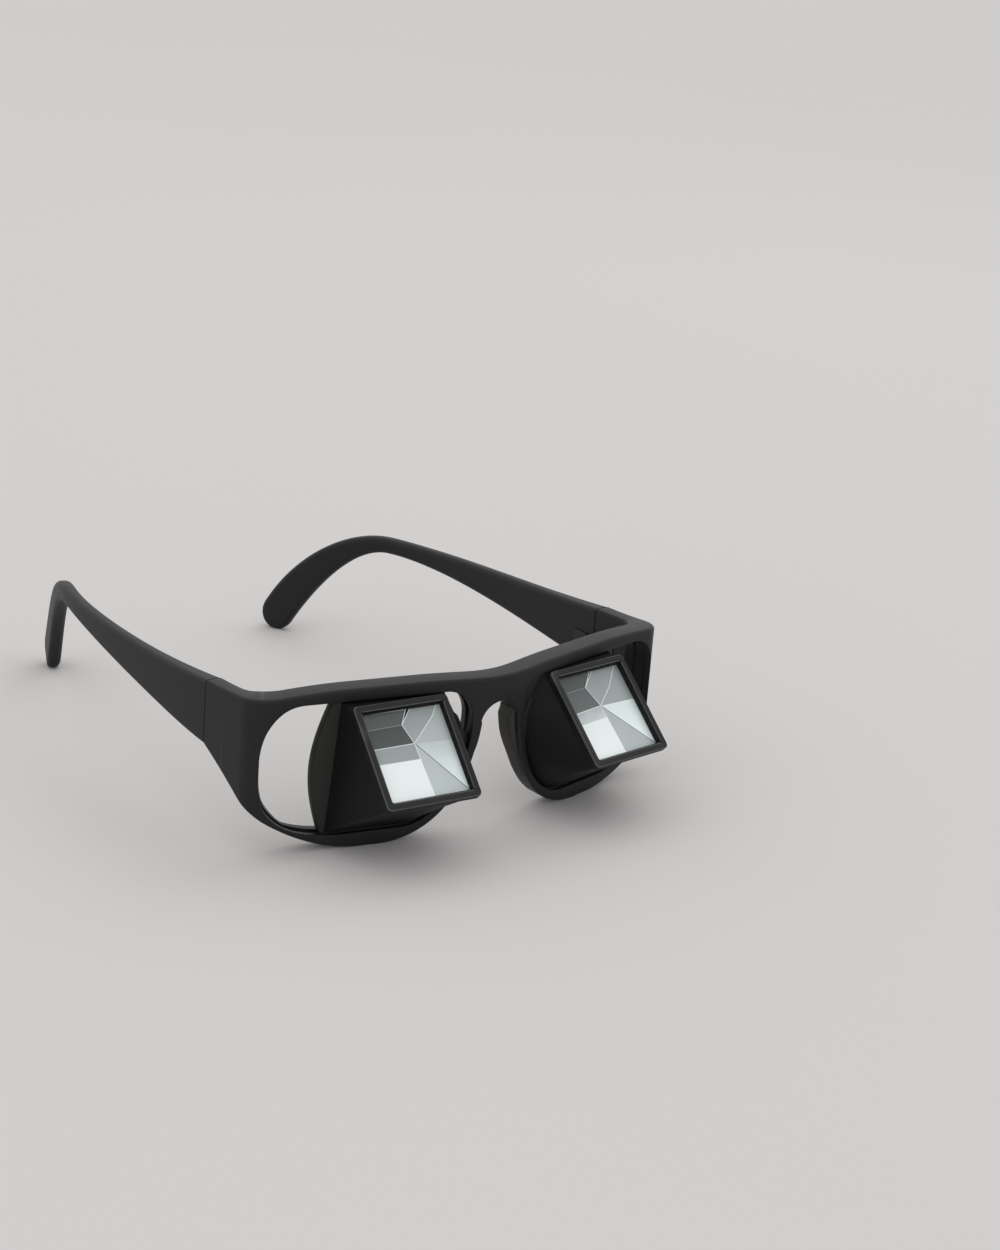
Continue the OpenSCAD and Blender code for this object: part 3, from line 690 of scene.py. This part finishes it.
def rounded_box(width, height, radius, per_corner=6):
    """Points round a box with rounded corners."""
    radius = min(radius, width / 2 - 0.01, height / 2 - 0.01)
    out = []
    for quarter, (sx, sz) in enumerate(((1, 1), (-1, 1), (-1, -1), (1, -1))):
        for t in steps(per_corner):
            a = pi / 2 * (quarter + t)
            out.append((sx * (width / 2 - radius) + radius * cos(a),
                        sz * (height / 2 - radius) + radius * sin(a)))
    return out


def temple_section(middle, way, width, height, radius):
    """A rounded section round a point of the line, square to its way."""
    sideways = Vector((way.y, -way.x, 0)).normalized()
    over = sideways.cross(way)
    return [middle + a * sideways + b * over for a, b in rounded_box(width, height, radius)]


def arm_height(t):
    """The bar loses most of its height soon after the seam."""
    return mix(SEAM_HEIGHT, EAR_HEIGHT, 0.35 * smooth(t * 1.05) + 0.65 * (1 - (1 - t) ** 1.9))


print("temple from", [round(c, 1) for c in arm_start], "to", [round(c, 1) for c in tip])

# %% Temple sections
ARM_STEPS, HOOK_STEPS, TIP_STEPS, TIP_END = 52, 30, 10, 2.4
SEAM_ROUND, EAR_ROUND, TIP_CLOSES = 1.2, 1.6, radians(84)
# Each station is a point, its way, and the width, height and corner radius of its section.
stations = [(arm_start + Vector((0, 0.3 - inset, 0)), Vector((0, 1, 0)), SIDE_DEPTH - 2 * inset,
             SEAM_HEIGHT - 2 * inset, SEAM_ROUND) for inset in (0.3, 0.12, 0.02)]
for t in steps(ARM_STEPS, 1):
    stations.append((on_line(arm_line, t), way_on(arm_line, t),
                     mix(SIDE_DEPTH, TEMPLE_THICK, smooth(t * 2.2)), arm_height(t),
                     mix(SEAM_ROUND, EAR_ROUND, smooth(t * 3))))
for t in steps(HOOK_STEPS, 1):
    stations.append((on_line(hook_line, t), way_on(hook_line, t), TEMPLE_THICK,
                     mix(EAR_HEIGHT, TIP_HEIGHT, smooth(t * 1.05)), EAR_ROUND))
end_way = way_on(hook_line, 1)
for a in (TIP_CLOSES * t for t in steps(TIP_STEPS, 1)):
    stations.append((tip + end_way * (TIP_HEIGHT / 2 * sin(a)), end_way,
                     mix(TEMPLE_THICK, TIP_END, 1 - cos(a)),
                     max(TIP_HEIGHT * cos(a), TIP_END), EAR_ROUND * cos(a) + 0.2))
sections = [temple_section(*station) for station in stations]
tip_low = min(p.z for section in sections for p in section)
for section in sections:
    for p in section:
        p.z -= tip_low * smooth((p.y - ear.y) / HOOK_BACK + 0.5)
for side, name in SIDES:
    bm = bmesh.new()
    loft(bm, sections)
    add_piece(bm, name + "_temple_moulding", name + "_arm", name + "_temple",
              [frame_plastic], side)

# %% [markdown]
# ## Prism carriers
# A carrier is the plate that closes two thirds of the lens opening. It sits in the rim's groove.
# Its free edge bulges towards the temple, and its upper corner over the nose is cut off. The eye
# looks through a rounded window in it, so the plate is one ring of faces from that window out
# to its outline: rays from the window's middle give each pair of points.

# %% Prism unit sizes
WINDOW_X, WINDOW_DROP, WINDOW_FORWARD = 32, 13.8, 12
BEZEL_W, BEZEL_H, BEZEL_EDGE, BEZEL_ROUND, BEZEL_DEEP = 28.6, 29.7, 2, 1.2, 2.2
WINDOW_TILT, WINDOW_YAW = radians(44.3), radians(5.3)
LIP, GASKET, HOOD_WALL, PRISM_LIFT, PRISM_GAP = 1.2, 0.6, 1.4, 5.2, 0.1
CARRIER_IN, CARRIER_THICK, CARRIER_PLAY, SEAT, SEAT_WIDE = 1.5, 3, 0.1, 0.8, 2.2
CARRIER_TOP, CARRIER_LOW, CARRIER_BULGE = 49, 51.2, 4.4
HOOD_TOP, HOOD_LOW = 47.2, 50
prism_w, prism_h = (size - 2 * (HOOD_WALL + PRISM_GAP) for size in (BEZEL_W, BEZEL_H))
prism_back = (panel_start[1] + (WINDOW_X - prism_w / 2 - panel_start[0]) * tan(WRAP)
              + CARRIER_IN / cos(WRAP) + sin(WINDOW_YAW) * prism_w / 2 - SEAT)
window_centre = Vector((0, -WINDOW_FORWARD, FRONT_HEIGHT - WINDOW_DROP))
window_up = Vector((0, sin(WINDOW_TILT), cos(WINDOW_TILT)))
window_in = Vector((0, cos(WINDOW_TILT), -sin(WINDOW_TILT)))
glass_in = LIP + GASKET
prism_low = opening_low + PRISM_LIFT
unit_place = Matrix.Translation((WINDOW_X, prism_back, 0)) @ Matrix.Rotation(WINDOW_YAW, 4, "Z")
across, slope, inwards = (unit_place.to_3x3() @ way
                          for way in (Vector((1, 0, 0)), window_up, window_in))


def in_unit(u, v, w):
    """A point on the window, in the unit's own place: u across, v up its slope, w out of it."""
    return window_centre + Vector((u, 0, 0)) + v * window_up - w * window_in


def on_window(u, v, w):
    return unit_place @ in_unit(u, v, w)


def on_plate(points, d):
    """Points in s and z, d behind the panel's face."""
    return [Vector((*on_panel(s, d), z)) for s, z in points]


def eased(a, b, t):
    return mix(a, b, 1 - cos(pi / 2 * t))


def along(above, start, end, count, grow, ease=mix):
    """Points along the opening's lower or upper edge, from one s to another."""
    return [(s, opening_at(s, above, grow)) for s in (ease(start, end, t) for t in steps(count))]


glass_low, glass_top = (in_unit(0, v, -glass_in) for v in (-prism_h / 2, prism_h / 2))
print("prism", round(prism_w, 1), "by", round(prism_h, 1), "mm, rear at y =", round(prism_back, 1))

# %% Carriers
RING, EDGE_STEPS, HOLE_ASIDE = 160, 40, 0.6


def below_brow(*points):
    return [(s, opening_high - drop) for s, drop in points]


PLATE_CUT = below_brow((OPEN_NASAL - 1.8, 11.7), (12.9, 7.5), (17.1, -1))


def carrier_line(shrink):
    """The carrier's outline in s and z, anticlockwise from the bottom of its nasal end."""
    grow = 0.8 - CARRIER_PLAY - shrink
    start = OPEN_NASAL - grow
    low = along(0, start, CARRIER_LOW, EDGE_STEPS, grow, eased)
    top = along(1, start, CARRIER_TOP, EDGE_STEPS, grow, eased)[::-1]
    edge = [(mix(low[-1][0], top[0][0], t) + CARRIER_BULGE * sin(pi * t) - shrink,
             mix(low[-1][1], top[0][1], t)) for t in steps(EDGE_STEPS, 1)[:-1]]
    return low + edge + top


hole_middle = (arc_s + (WINDOW_X + HOLE_ASIDE - arc_end[0]) / cos(WRAP),
               (prism_low + glass_top.z) / 2)
hole_s, hole_z = hole_middle


def matched(outline):
    """Points on the outline, one for each direction from the middle of the hole."""
    points = []
    for a in (2 * pi * t for t in steps(RING)[:-1]):
        best = 0
        for p, q in pairs_round(outline):
            (ex, ez), (px, pz) = (q[0] - p[0], q[1] - p[1]), (p[0] - hole_s, p[1] - hole_z)
            det = sin(a) * ex - cos(a) * ez
            if abs(det) > 1e-12:
                t, r = (pz * ex - px * ez) / det, (cos(a) * pz - sin(a) * px) / det
                if t > best and -1e-9 <= r <= 1 + 1e-9:
                    best = t
        points.append((hole_s + best * cos(a), hole_z + best * sin(a)))
    return points


def cut_off(p, shrink):
    """Pulls a point beyond the plate's cut back to it, towards the middle of the hole."""
    for (ax, az), (bx, bz) in zip(PLATE_CUT, PLATE_CUT[1:]):
        length = hypot(bx - ax, bz - az)
        nx, nz = (az - bz) / length, (bx - ax) / length      # towards the nose and up
        beyond, within = ((s - ax) * nx + (z - az) * nz + shrink for s, z in (p, hole_middle))
        if beyond > 0 > within:
            t = within / (within - beyond)
            p = (mix(hole_s, p[0], t), mix(hole_z, p[1], t))
    return p


hole_box = rounded_box(prism_w - 2 * SEAT_WIDE, glass_top.z - prism_low - 2 * SEAT_WIDE, 2, 8)
hole_ring = matched([(hole_s + a, hole_z + b) for a, b in hole_box])


def hole_at(grow, d):
    return on_plate([(mix(hole_s, s, 1 + grow / 10), mix(hole_z, z, 1 + grow / 12))
                     for s, z in hole_ring], d)


def edge_at(shrink, d):
    return on_plate([cut_off(p, shrink) for p in matched(carrier_line(shrink))], d)


carrier_rear = CARRIER_IN + CARRIER_THICK
carrier_edge = ((0.5, CARRIER_IN), (0.15, CARRIER_IN + 0.15), (0, CARRIER_IN + 0.5),
                (0, carrier_rear - 0.4), (0.12, carrier_rear - 0.12), (0.4, carrier_rear))
carrier_rings = [hole_at(0, CARRIER_IN), *(edge_at(shrink, d) for shrink, d in carrier_edge),
                 hole_at(0.3, carrier_rear), hole_at(0, carrier_rear - 0.3)]
for side, name in SIDES:
    bm = bmesh.new()
    loft(bm, carrier_rings, closed=True)
    add_piece(bm, name + "_carrier_plate", "front", name + "_prism_carrier",
              [carrier_plastic], side)

# %% [markdown]
# ## Prism hoods
# A hood is a tapering box that grows out of the carrier and ends in the bezel round the glass.
# It is one loft: from its foot on the carrier up to the bezel, round the bezel's front, down
# inside it to the glass, and back down the inside of the walls.

# %% Hood rings
CORNER_STEPS, SIDE_STEPS, FOOT_STEPS = 6, 18, 60
FOOT_LOW, FOOT_TOP = 12, 17.5                       # where the foot starts at the nose, along s
FOOT_CUT = ((13.8, 7.3), (12, 10.6))                # and the corner that is cut off there


def window_ring(width, height, radius, w):
    """A rounded rectangle on the window, with points along its sides too."""
    corners = rounded_box(width, height, radius, CORNER_STEPS)
    per = CORNER_STEPS + 1
    out = []
    for c in range(4):
        arc = corners[c * per:(c + 1) * per]
        out += arc + even([arc[-1], corners[(c + 1) * per % len(corners)]], SIDE_STEPS)[1:-1]
    return [on_window(u, v, w) for u, v in out]


def foot_ring(play, d):
    """The hood's foot on the carrier, with the same number of points as a window ring."""
    aside = play - 0.4
    low = along(0, FOOT_LOW + aside, HOOD_LOW, FOOT_STEPS, -play)
    top = along(1, HOOD_TOP, FOOT_TOP + aside, FOOT_STEPS, -play)
    cut = below_brow(*((s + aside, drop + aside) for s, drop in FOOT_CUT))
    turn = nearest(low, (17, opening_low + 6))
    # The four sides, from the window's upper temple corner round: top, nasal, low, temple.
    out = []
    for line in (top, top[-1:] + cut + low[:turn + 1], low[turn:], [low[-1], top[0]]):
        out += even(line, CORNER_STEPS + SIDE_STEPS)[:-1]
    shift = CORNER_STEPS // 2
    return on_plate(out[-shift:] + out[:-shift], d)


def between(a_ring, b_ring, t):
    return [a.lerp(b, t) for a, b in zip(a_ring, b_ring)]


print("hood rings of", len(foot_ring(0.4, 1)), "points")

# %% Hoods
OPEN = 2 * BEZEL_EDGE          # how much smaller the opening in the bezel is


def hood_painted_light_zone(face):
    """0 on the hood and inside it, 1 on the bezel's front, painted lighter as lit, 2 on the bezel's
    edges, a painted highlight.
    """
    local = unit_place.inverted() @ face.calc_center_median() - window_centre
    out = -local.dot(window_in)
    border = max(abs(local.x) - BEZEL_W / 2, abs(local.dot(window_up)) - BEZEL_H / 2)
    if out < -0.5 or border < 0.2 - BEZEL_EDGE:
        return 0
    return 2 if out < -0.02 else 1


outer_foot, inner_foot = foot_ring(0.4, CARRIER_IN), foot_ring(2.2, CARRIER_IN)
room = window_ring(prism_w + 2 * PRISM_GAP, prism_h + 2 * PRISM_GAP, 0.3, -LIP)
# For each ring from the neck on: how much smaller it is, its corner radius, and how far out.
bezel = [window_ring(BEZEL_W - less, BEZEL_H - less, radius, w) for less, radius, w in (
    (1, 1, -BEZEL_DEEP), (0.3, BEZEL_ROUND, -BEZEL_DEEP), (0, BEZEL_ROUND, 0.2 - BEZEL_DEEP),
    (0, BEZEL_ROUND, -0.5), (0.12, BEZEL_ROUND, -0.2), (0.5, BEZEL_ROUND, 0),
    (OPEN - 0.7, 0.8, 0), (OPEN - 0.2, 0.6, -0.12), (OPEN, 0.5, -0.4), (OPEN, 0.5, -LIP))]
hood_rings = [between(outer_foot, bezel[0], t) for t in (0, 0.04, 0.25, 0.5, 0.75, 0.97)]
hood_rings += bezel + [room, between(room, inner_foot, 0.5), inner_foot]
for side, name in SIDES:
    bm = bmesh.new()
    loft(bm, hood_rings, closed=True)
    for face in bm.faces:
        face.material_index = hood_painted_light_zone(face)
    add_piece(bm, name + "_hood_shell", "front", name + "_prism_hood",
              [hood_plastic, bezel_front_painted_light, bezel_edge], side, sharp=30)

# %% [markdown]
# ## Prisms
# Each prism is a block of clear glass, silvered below. What one sees through its window is the
# sloping mirror and both of its ends, folded into each other like the glass of a kaleidoscope:
# pale and dark fields that meet along fine bright lines. Here the block only shines where the
# eye meets it at a slant, and it reflects nothing on its inside. The fields are the facets of a
# thin tile within it, and that folded reflection, with its bright lines, is painted on them as
# greys.

# %% Glass block
SHEEN, STRAIGHT_SHEEN = 0.8, 0.027       # of the true reflection, and what comes off it again


def clear_glass():
    """Mostly see-through, with the reflection that its angle gives, on its outside only."""
    material, gloss, coords = new_material("prism_glass")
    fill(gloss, Base_Color=(0.75, 0.78, 0.78, 1), Metallic=1.0,
         Roughness=0.03 + noise(coords, 140.0, 2.0) * 0.05)
    inside = coords.node("ShaderNodeNewGeometry", out=6)     # Backfacing
    shine = coords.node("ShaderNodeFresnel", IOR=1.45)
    clear = coords.node("ShaderNodeBsdfTransparent", Color=(0.96, 0.985, 0.98, 1))
    skin = coords.node("ShaderNodeMixShader", i1=clear, i2=Sock(coords.tree, gloss.outputs[0]),
                       i0=(shine * SHEEN - STRAIGHT_SHEEN) * (1 - inside))
    fill(coords.tree.nodes["Material Output"], Surface=skin)
    return material


prism_glass = clear_glass()
profile = (glass_low.yz, glass_top.yz, (0, glass_top.z), (0, prism_low))
for side, name in SIDES:
    bm = bmesh.new()
    end = bm.faces.new([bm.verts.new((-prism_w / 2, y, z)) for y, z in profile])
    swept = bmesh.ops.extrude_face_region(bm, geom=[end])
    bmesh.ops.translate(bm, vec=(prism_w, 0, 0), verts=verts_of(swept))
    bmesh.ops.bevel(bm, geom=bm.edges[:], offset=0.25, segments=2, profile=0.5,
                    affect="EDGES", material=-1)
    bmesh.ops.transform(bm, matrix=unit_place, verts=bm.verts)
    add_piece(bm, name + "_prism_block", "front", name + "_prism",
              [prism_glass], side)

# %% [markdown]
# Where each line of the folded image lies was read off the photograph, as points of its window.
# The four corners of the visible glass give the map from the photograph to the window, and the
# points are sunk a little along the line of sight, which makes the facets.

# %% From the photograph to the window
GLASS_BACK = glass_in + 0.12          # how deep the facets start behind the front of the bezel
MARGIN = 0.2                          # by which the visible glass runs on under the bezel


def square_map(corners):
    """The 3 x 3 map from the photograph to the unit square of four corners."""
    (x0, y0), (x1, y1), (x2, y2), (x3, y3) = corners
    dx1, dx2, dx3 = x1 - x2, x3 - x2, x0 - x1 + x2 - x3
    dy1, dy2, dy3 = y1 - y2, y3 - y2, y0 - y1 + y2 - y3
    det = dx1 * dy2 - dx2 * dy1
    g, h = (dx3 * dy2 - dx2 * dy3) / det, (dx1 * dy3 - dx3 * dy1) / det
    return Matrix(((x1 - x0 + g * x1, x3 - x0 + h * x3, x0),
                   (y1 - y0 + g * y1, y3 - y0 + h * y3, y0), (g, h, 1))).inverted()


def sight(side):
    """How far the line of sight leans across and up the window, for each unit outwards."""
    middle = on_window(0, 0, 0) + Vector((0, BRIDGE_Y, 0))
    seen = Vector((side * place.x, place.y, place.z)) - middle
    out = across.cross(slope)
    return seen.dot(across) / seen.dot(out), seen.dot(slope) / seen.dot(out)


def visible(half, lean):
    """From where to where the glass is visible past the bezel, across half its size."""
    half -= BEZEL_EDGE + MARGIN
    slide = -lean * glass_in
    return max(-half, slide - half - MARGIN), min(half, slide + half + MARGIN)


def glass_point(side, to_square, x, y, sink):
    """The window's point that the photograph shows at x, y, sunk along the line of sight."""
    a = to_square @ Vector((x, y, 1))
    lean_u, lean_v = sight(side)
    # The picture's right is the wearer's left, so it is towards the nose on the right unit.
    u = mix(*visible(BEZEL_W / 2, lean_u)[::side], a.x / a.z)
    v = mix(*visible(BEZEL_H / 2, lean_v)[::-1], a.y / a.z)
    deep = GLASS_BACK - glass_in + sink
    return on_window(u - lean_u * deep, v - lean_v * deep, -GLASS_BACK - sink)


print("sight line leans", [round(t, 2) for t in sight(1) + sight(-1)])

# %% Facet materials
# For each field of painted reflection: its corners, its upper and lower height, and its greys
# there, on the wearer's right and on the left. The last two are only the painted lines between
# fields.
PAINTED_FIELDS = {
    "top": ("tl t1 j2 l1", (40, 34), (0.115, 0.105), (0.094, 0.102)),
    "dark": ("l1 j2 j1 l2", (37, 30), (0.079, 0.108), (0.113, 0.16)),
    "band": ("l2 j1 d l3", (32, 26), (0.35, 0.4), (0.41, 0.78)),
    "white": ("l3 d b1 bl", (29, 21), (0.91, 0.94), (0.87, 0.97)),
    "lower": ("d j1 br b1", (32, 22), (0.53, 0.6), (0.46, 0.54)),
    "gap": ("t1 t2 j2", (40, 30), (0.012, 0.012), (0.012, 0.012)),
    "upper": ("j2 t2 t3 k j1", (40, 32), (0.31, 0.4), (0.295, 0.37)),
    "side": ("k t3 tr r1 j1", (40, 32), (0.41, 0.5), (0.305, 0.38)),
    "far": ("j1 r1 br", (33, 22), (0.54, 0.99), (0.78, 0.99)),
    "line": ("", (40, 20), (0.84, 0.9), (0.84, 0.9)),
    "faint": ("", (40, 20), (0.27, 0.27), (0.27, 0.27))}


def painted_reflection(name, heights, greys):
    """A satin field of painted reflection, whose grey runs from its upper height on the window to
    its lower one.
    """
    material, shader, coords = new_material(name)
    height = coords.node("ShaderNodeSeparateXYZ", out=2, Vector=coords)
    cloud = noise(coords, 160.0, 3.0)
    where = coords.node("ShaderNodeMapRange", Value=height + (cloud - 0.5) * 0.004,
                        From_Min=heights[1] * MM, From_Max=heights[0] * MM)
    tint = (0.96, 1.0, 1.0) if greys[0] < 0.8 else (1.0, 1.0, 1.0)
    fill(shader, Base_Color=blended(where, paint(tint, greys[1]), paint(tint, greys[0])),
         Metallic=0.15, Specular_IOR_Level=0.2, Roughness=0.28 + cloud * 0.08)
    return material


painted_field_materials = {
    side: [painted_reflection("field_" + field + "_" + name, heights, greys[side > 0])
           for field, (_, heights, *greys) in PAINTED_FIELDS.items()] for side, name in SIDES[::-1]}
print(sum(len(found) for found in painted_field_materials.values()), "silvered fields")

# %% Facets
# Each point in the photograph, on the wearer's right and on the left.
CORNERS = dict(
    tl=((367.4, 709.0), (552.1, 677.5)), tr=((442.1, 695.8), (617.7, 661.0)),
    br=((468.6, 788.2), (663.7, 743.1)), bl=((392.7, 804.8), (597.1, 761.9)),
    t1=((408.9, 702.0), (586.0, 669.0)), t2=((413.0, 701.2), (588.6, 668.3)),
    t3=((438.5, 696.5), (614.6, 661.8)), k=((434.6, 709.0), (608.8, 684.6)),
    j2=((404.8, 718.6), (581.5, 685.5)), j1=((416.4, 738.5), (598.9, 704.3)),
    l1=((371.2, 725.6), (560.5, 692.2)), l2=((377.0, 746.4), (571.8, 713.4)),
    l3=((381.9, 762.9), (578.0, 725.4)), d=((421.5, 755.3), (606.0, 716.0)),
    b1=((434.6, 795.6), (628.4, 753.1)), r1=((452.9, 733.6), (637.2, 695.9)))
SINK = dict(j2=0.12, j1=0.25, k=0.12, d=0.17)
# The painted lines between fields: bright glints, a dark gap and a faint line.
LINES = {"line": ("j2 j1", "j1 k", "k t3", "j2 t1", "j2 t2", "j1 l2", "j1 d"),
         "gap": ("j1 br",), "faint": ("j2 l1",)}
TILE_DEEP, LINE_WIDE = 1.2, 0.085
TILE_PLAY = 0.35      # between the sides of the prism and the fields, which run on behind the bezel
for side, name in SIDES:
    points = {key: pair[side > 0] for key, pair in CORNERS.items()}
    to_square = square_map([points[key] for key in ("tl", "tr", "br", "bl")])
    bm = bmesh.new()
    vert = {key: bm.verts.new(glass_point(side, to_square, x, y, SINK.get(key, 0)))
            for key, (x, y) in points.items()}
    for n, (corners, *_) in enumerate(PAINTED_FIELDS.values()):
        if corners:
            bm.faces.new([vert[key] for key in corners.split()]).material_index = n
    for keys in ("tl l1 l2 l3 bl", "tr r1 br"):
        rim = [vert[key] for key in keys.split()]
        edges = [bm.edges.get(pair) for pair in zip(rim, rim[1:])]
        for v in verts_of(bmesh.ops.extrude_edge_only(bm, edges=edges)):
            u = (v.co - on_window(0, 0, 0)).dot(across)
            v.co += across * (copysign(prism_w / 2 - TILE_PLAY, u) - u)
    marks = bm.edges.layers.int.new("line")
    for n, pairs in enumerate(LINES.values(), 1):
        for pair in pairs:
            bm.edges.get([vert[key] for key in pair.split()])[marks] = n
    front_faces = bm.faces[:]
    rear = bmesh.ops.extrude_face_region(bm, geom=front_faces, use_keep_orig=True)
    bmesh.ops.translate(bm, vec=inwards * TILE_DEEP, verts=verts_of(rear))
    for n, kind in enumerate(LINES, 1):
        edges = [e for e in bm.edges if e[marks] == n
                 and all(f in front_faces or len(f.verts) < 5 for f in e.link_faces)]
        bmesh.ops.bevel(bm, geom=edges, offset=LINE_WIDE, segments=1, profile=0.5,
                        affect="EDGES", material=list(PAINTED_FIELDS).index(kind), clamp_overlap=True)
    add_piece(bm, name + "_prism_facets", "front", name + "_prism",
              painted_field_materials[side], side, smooth_faces=False)

# %% [markdown]
# ## Steel and rubber that keep their CAD shape
# The hinge leaves, screws, gaskets and mirror plates already have their right shape. They only
# get their finish.

# %% Finish the CAD pieces
CAD_FINISH = dict(front_hinge=hinge_steel, temple_hinge=hinge_steel, hinge_screw=screw_steel,
                  prism_gasket=gasket_rubber, mirror_plate=mirror_silver)
for _, name in SIDES:
    for node, material in CAD_FINISH.items():
        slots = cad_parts[name + "_" + node].data.materials
        slots.clear()
        slots.append(material)
print("finished", 2 * len(CAD_FINISH), "CAD pieces")

# %% [markdown]
# ## Floor and light
# The glasses lie on a plain pale floor that runs past the view. An even pale sky gives most of
# the light. A wide soft sun, above and behind on the wearer's left, gives the faint shadows,
# and a soft box on the same side brightens the edges that face it.

# %% Stage
FLOOR_HALF = 7
floor_mesh = bpy.data.meshes.new("floor")
bm = bmesh.new()
bmesh.ops.create_grid(bm, x_segments=1, y_segments=1, size=FLOOR_HALF)
bm.to_mesh(floor_mesh)
bm.free()
floor = put("floor", floor_mesh)
floor_material, floor_shader, floor_coords = new_material("floor_paper")
paper = blended(noise(floor_coords, 3.0, 3.0), (0.606, 0.586, 0.575, 1), (0.618, 0.598, 0.587, 1))
fill(floor_shader, Base_Color=paper, Roughness=0.9, Specular_IOR_Level=0.0)
floor.data.materials.append(floor_material)

# Reflections, and what is seen through the glass, show a slightly brighter sky.
SKY, SKY_EXTRA = 0.96, 0.04
world = bpy.data.worlds.new("sky")
scene.world = world
world.use_nodes = True
background = world.node_tree.nodes["Background"]
sky = Sock(world.node_tree, background.outputs[0])
mirrored = sky.node("ShaderNodeLightPath", out=3)            # Is Glossy Ray
through = sky.node("ShaderNodeLightPath", out=6)             # Is Transmission Ray
fill(background, Color=(0.98, 0.99, 1.0, 1), Strength=SKY + (mirrored + through) * SKY_EXTRA)

sun = put("sun", bpy.data.lights.new("sun", "SUN"), energy=0.27, angle=radians(70),
          color=(1.0, 0.99, 0.97))
sun.rotation_euler = Vector((-0.24, -0.3, -0.92)).to_track_quat("-Z", "Y").to_euler()
box = put("soft_box", bpy.data.lights.new("soft_box", "AREA"), shape="SQUARE", size=0.8,
          energy=0.9)
box_way = Vector((0.6, 0.25, 0.76)).normalized()
box.location = box_way * 1.4
box.rotation_euler = box_way.to_track_quat("Z", "Y").to_euler()
scene.view_settings.view_transform = "Standard"
print("stage and light set")
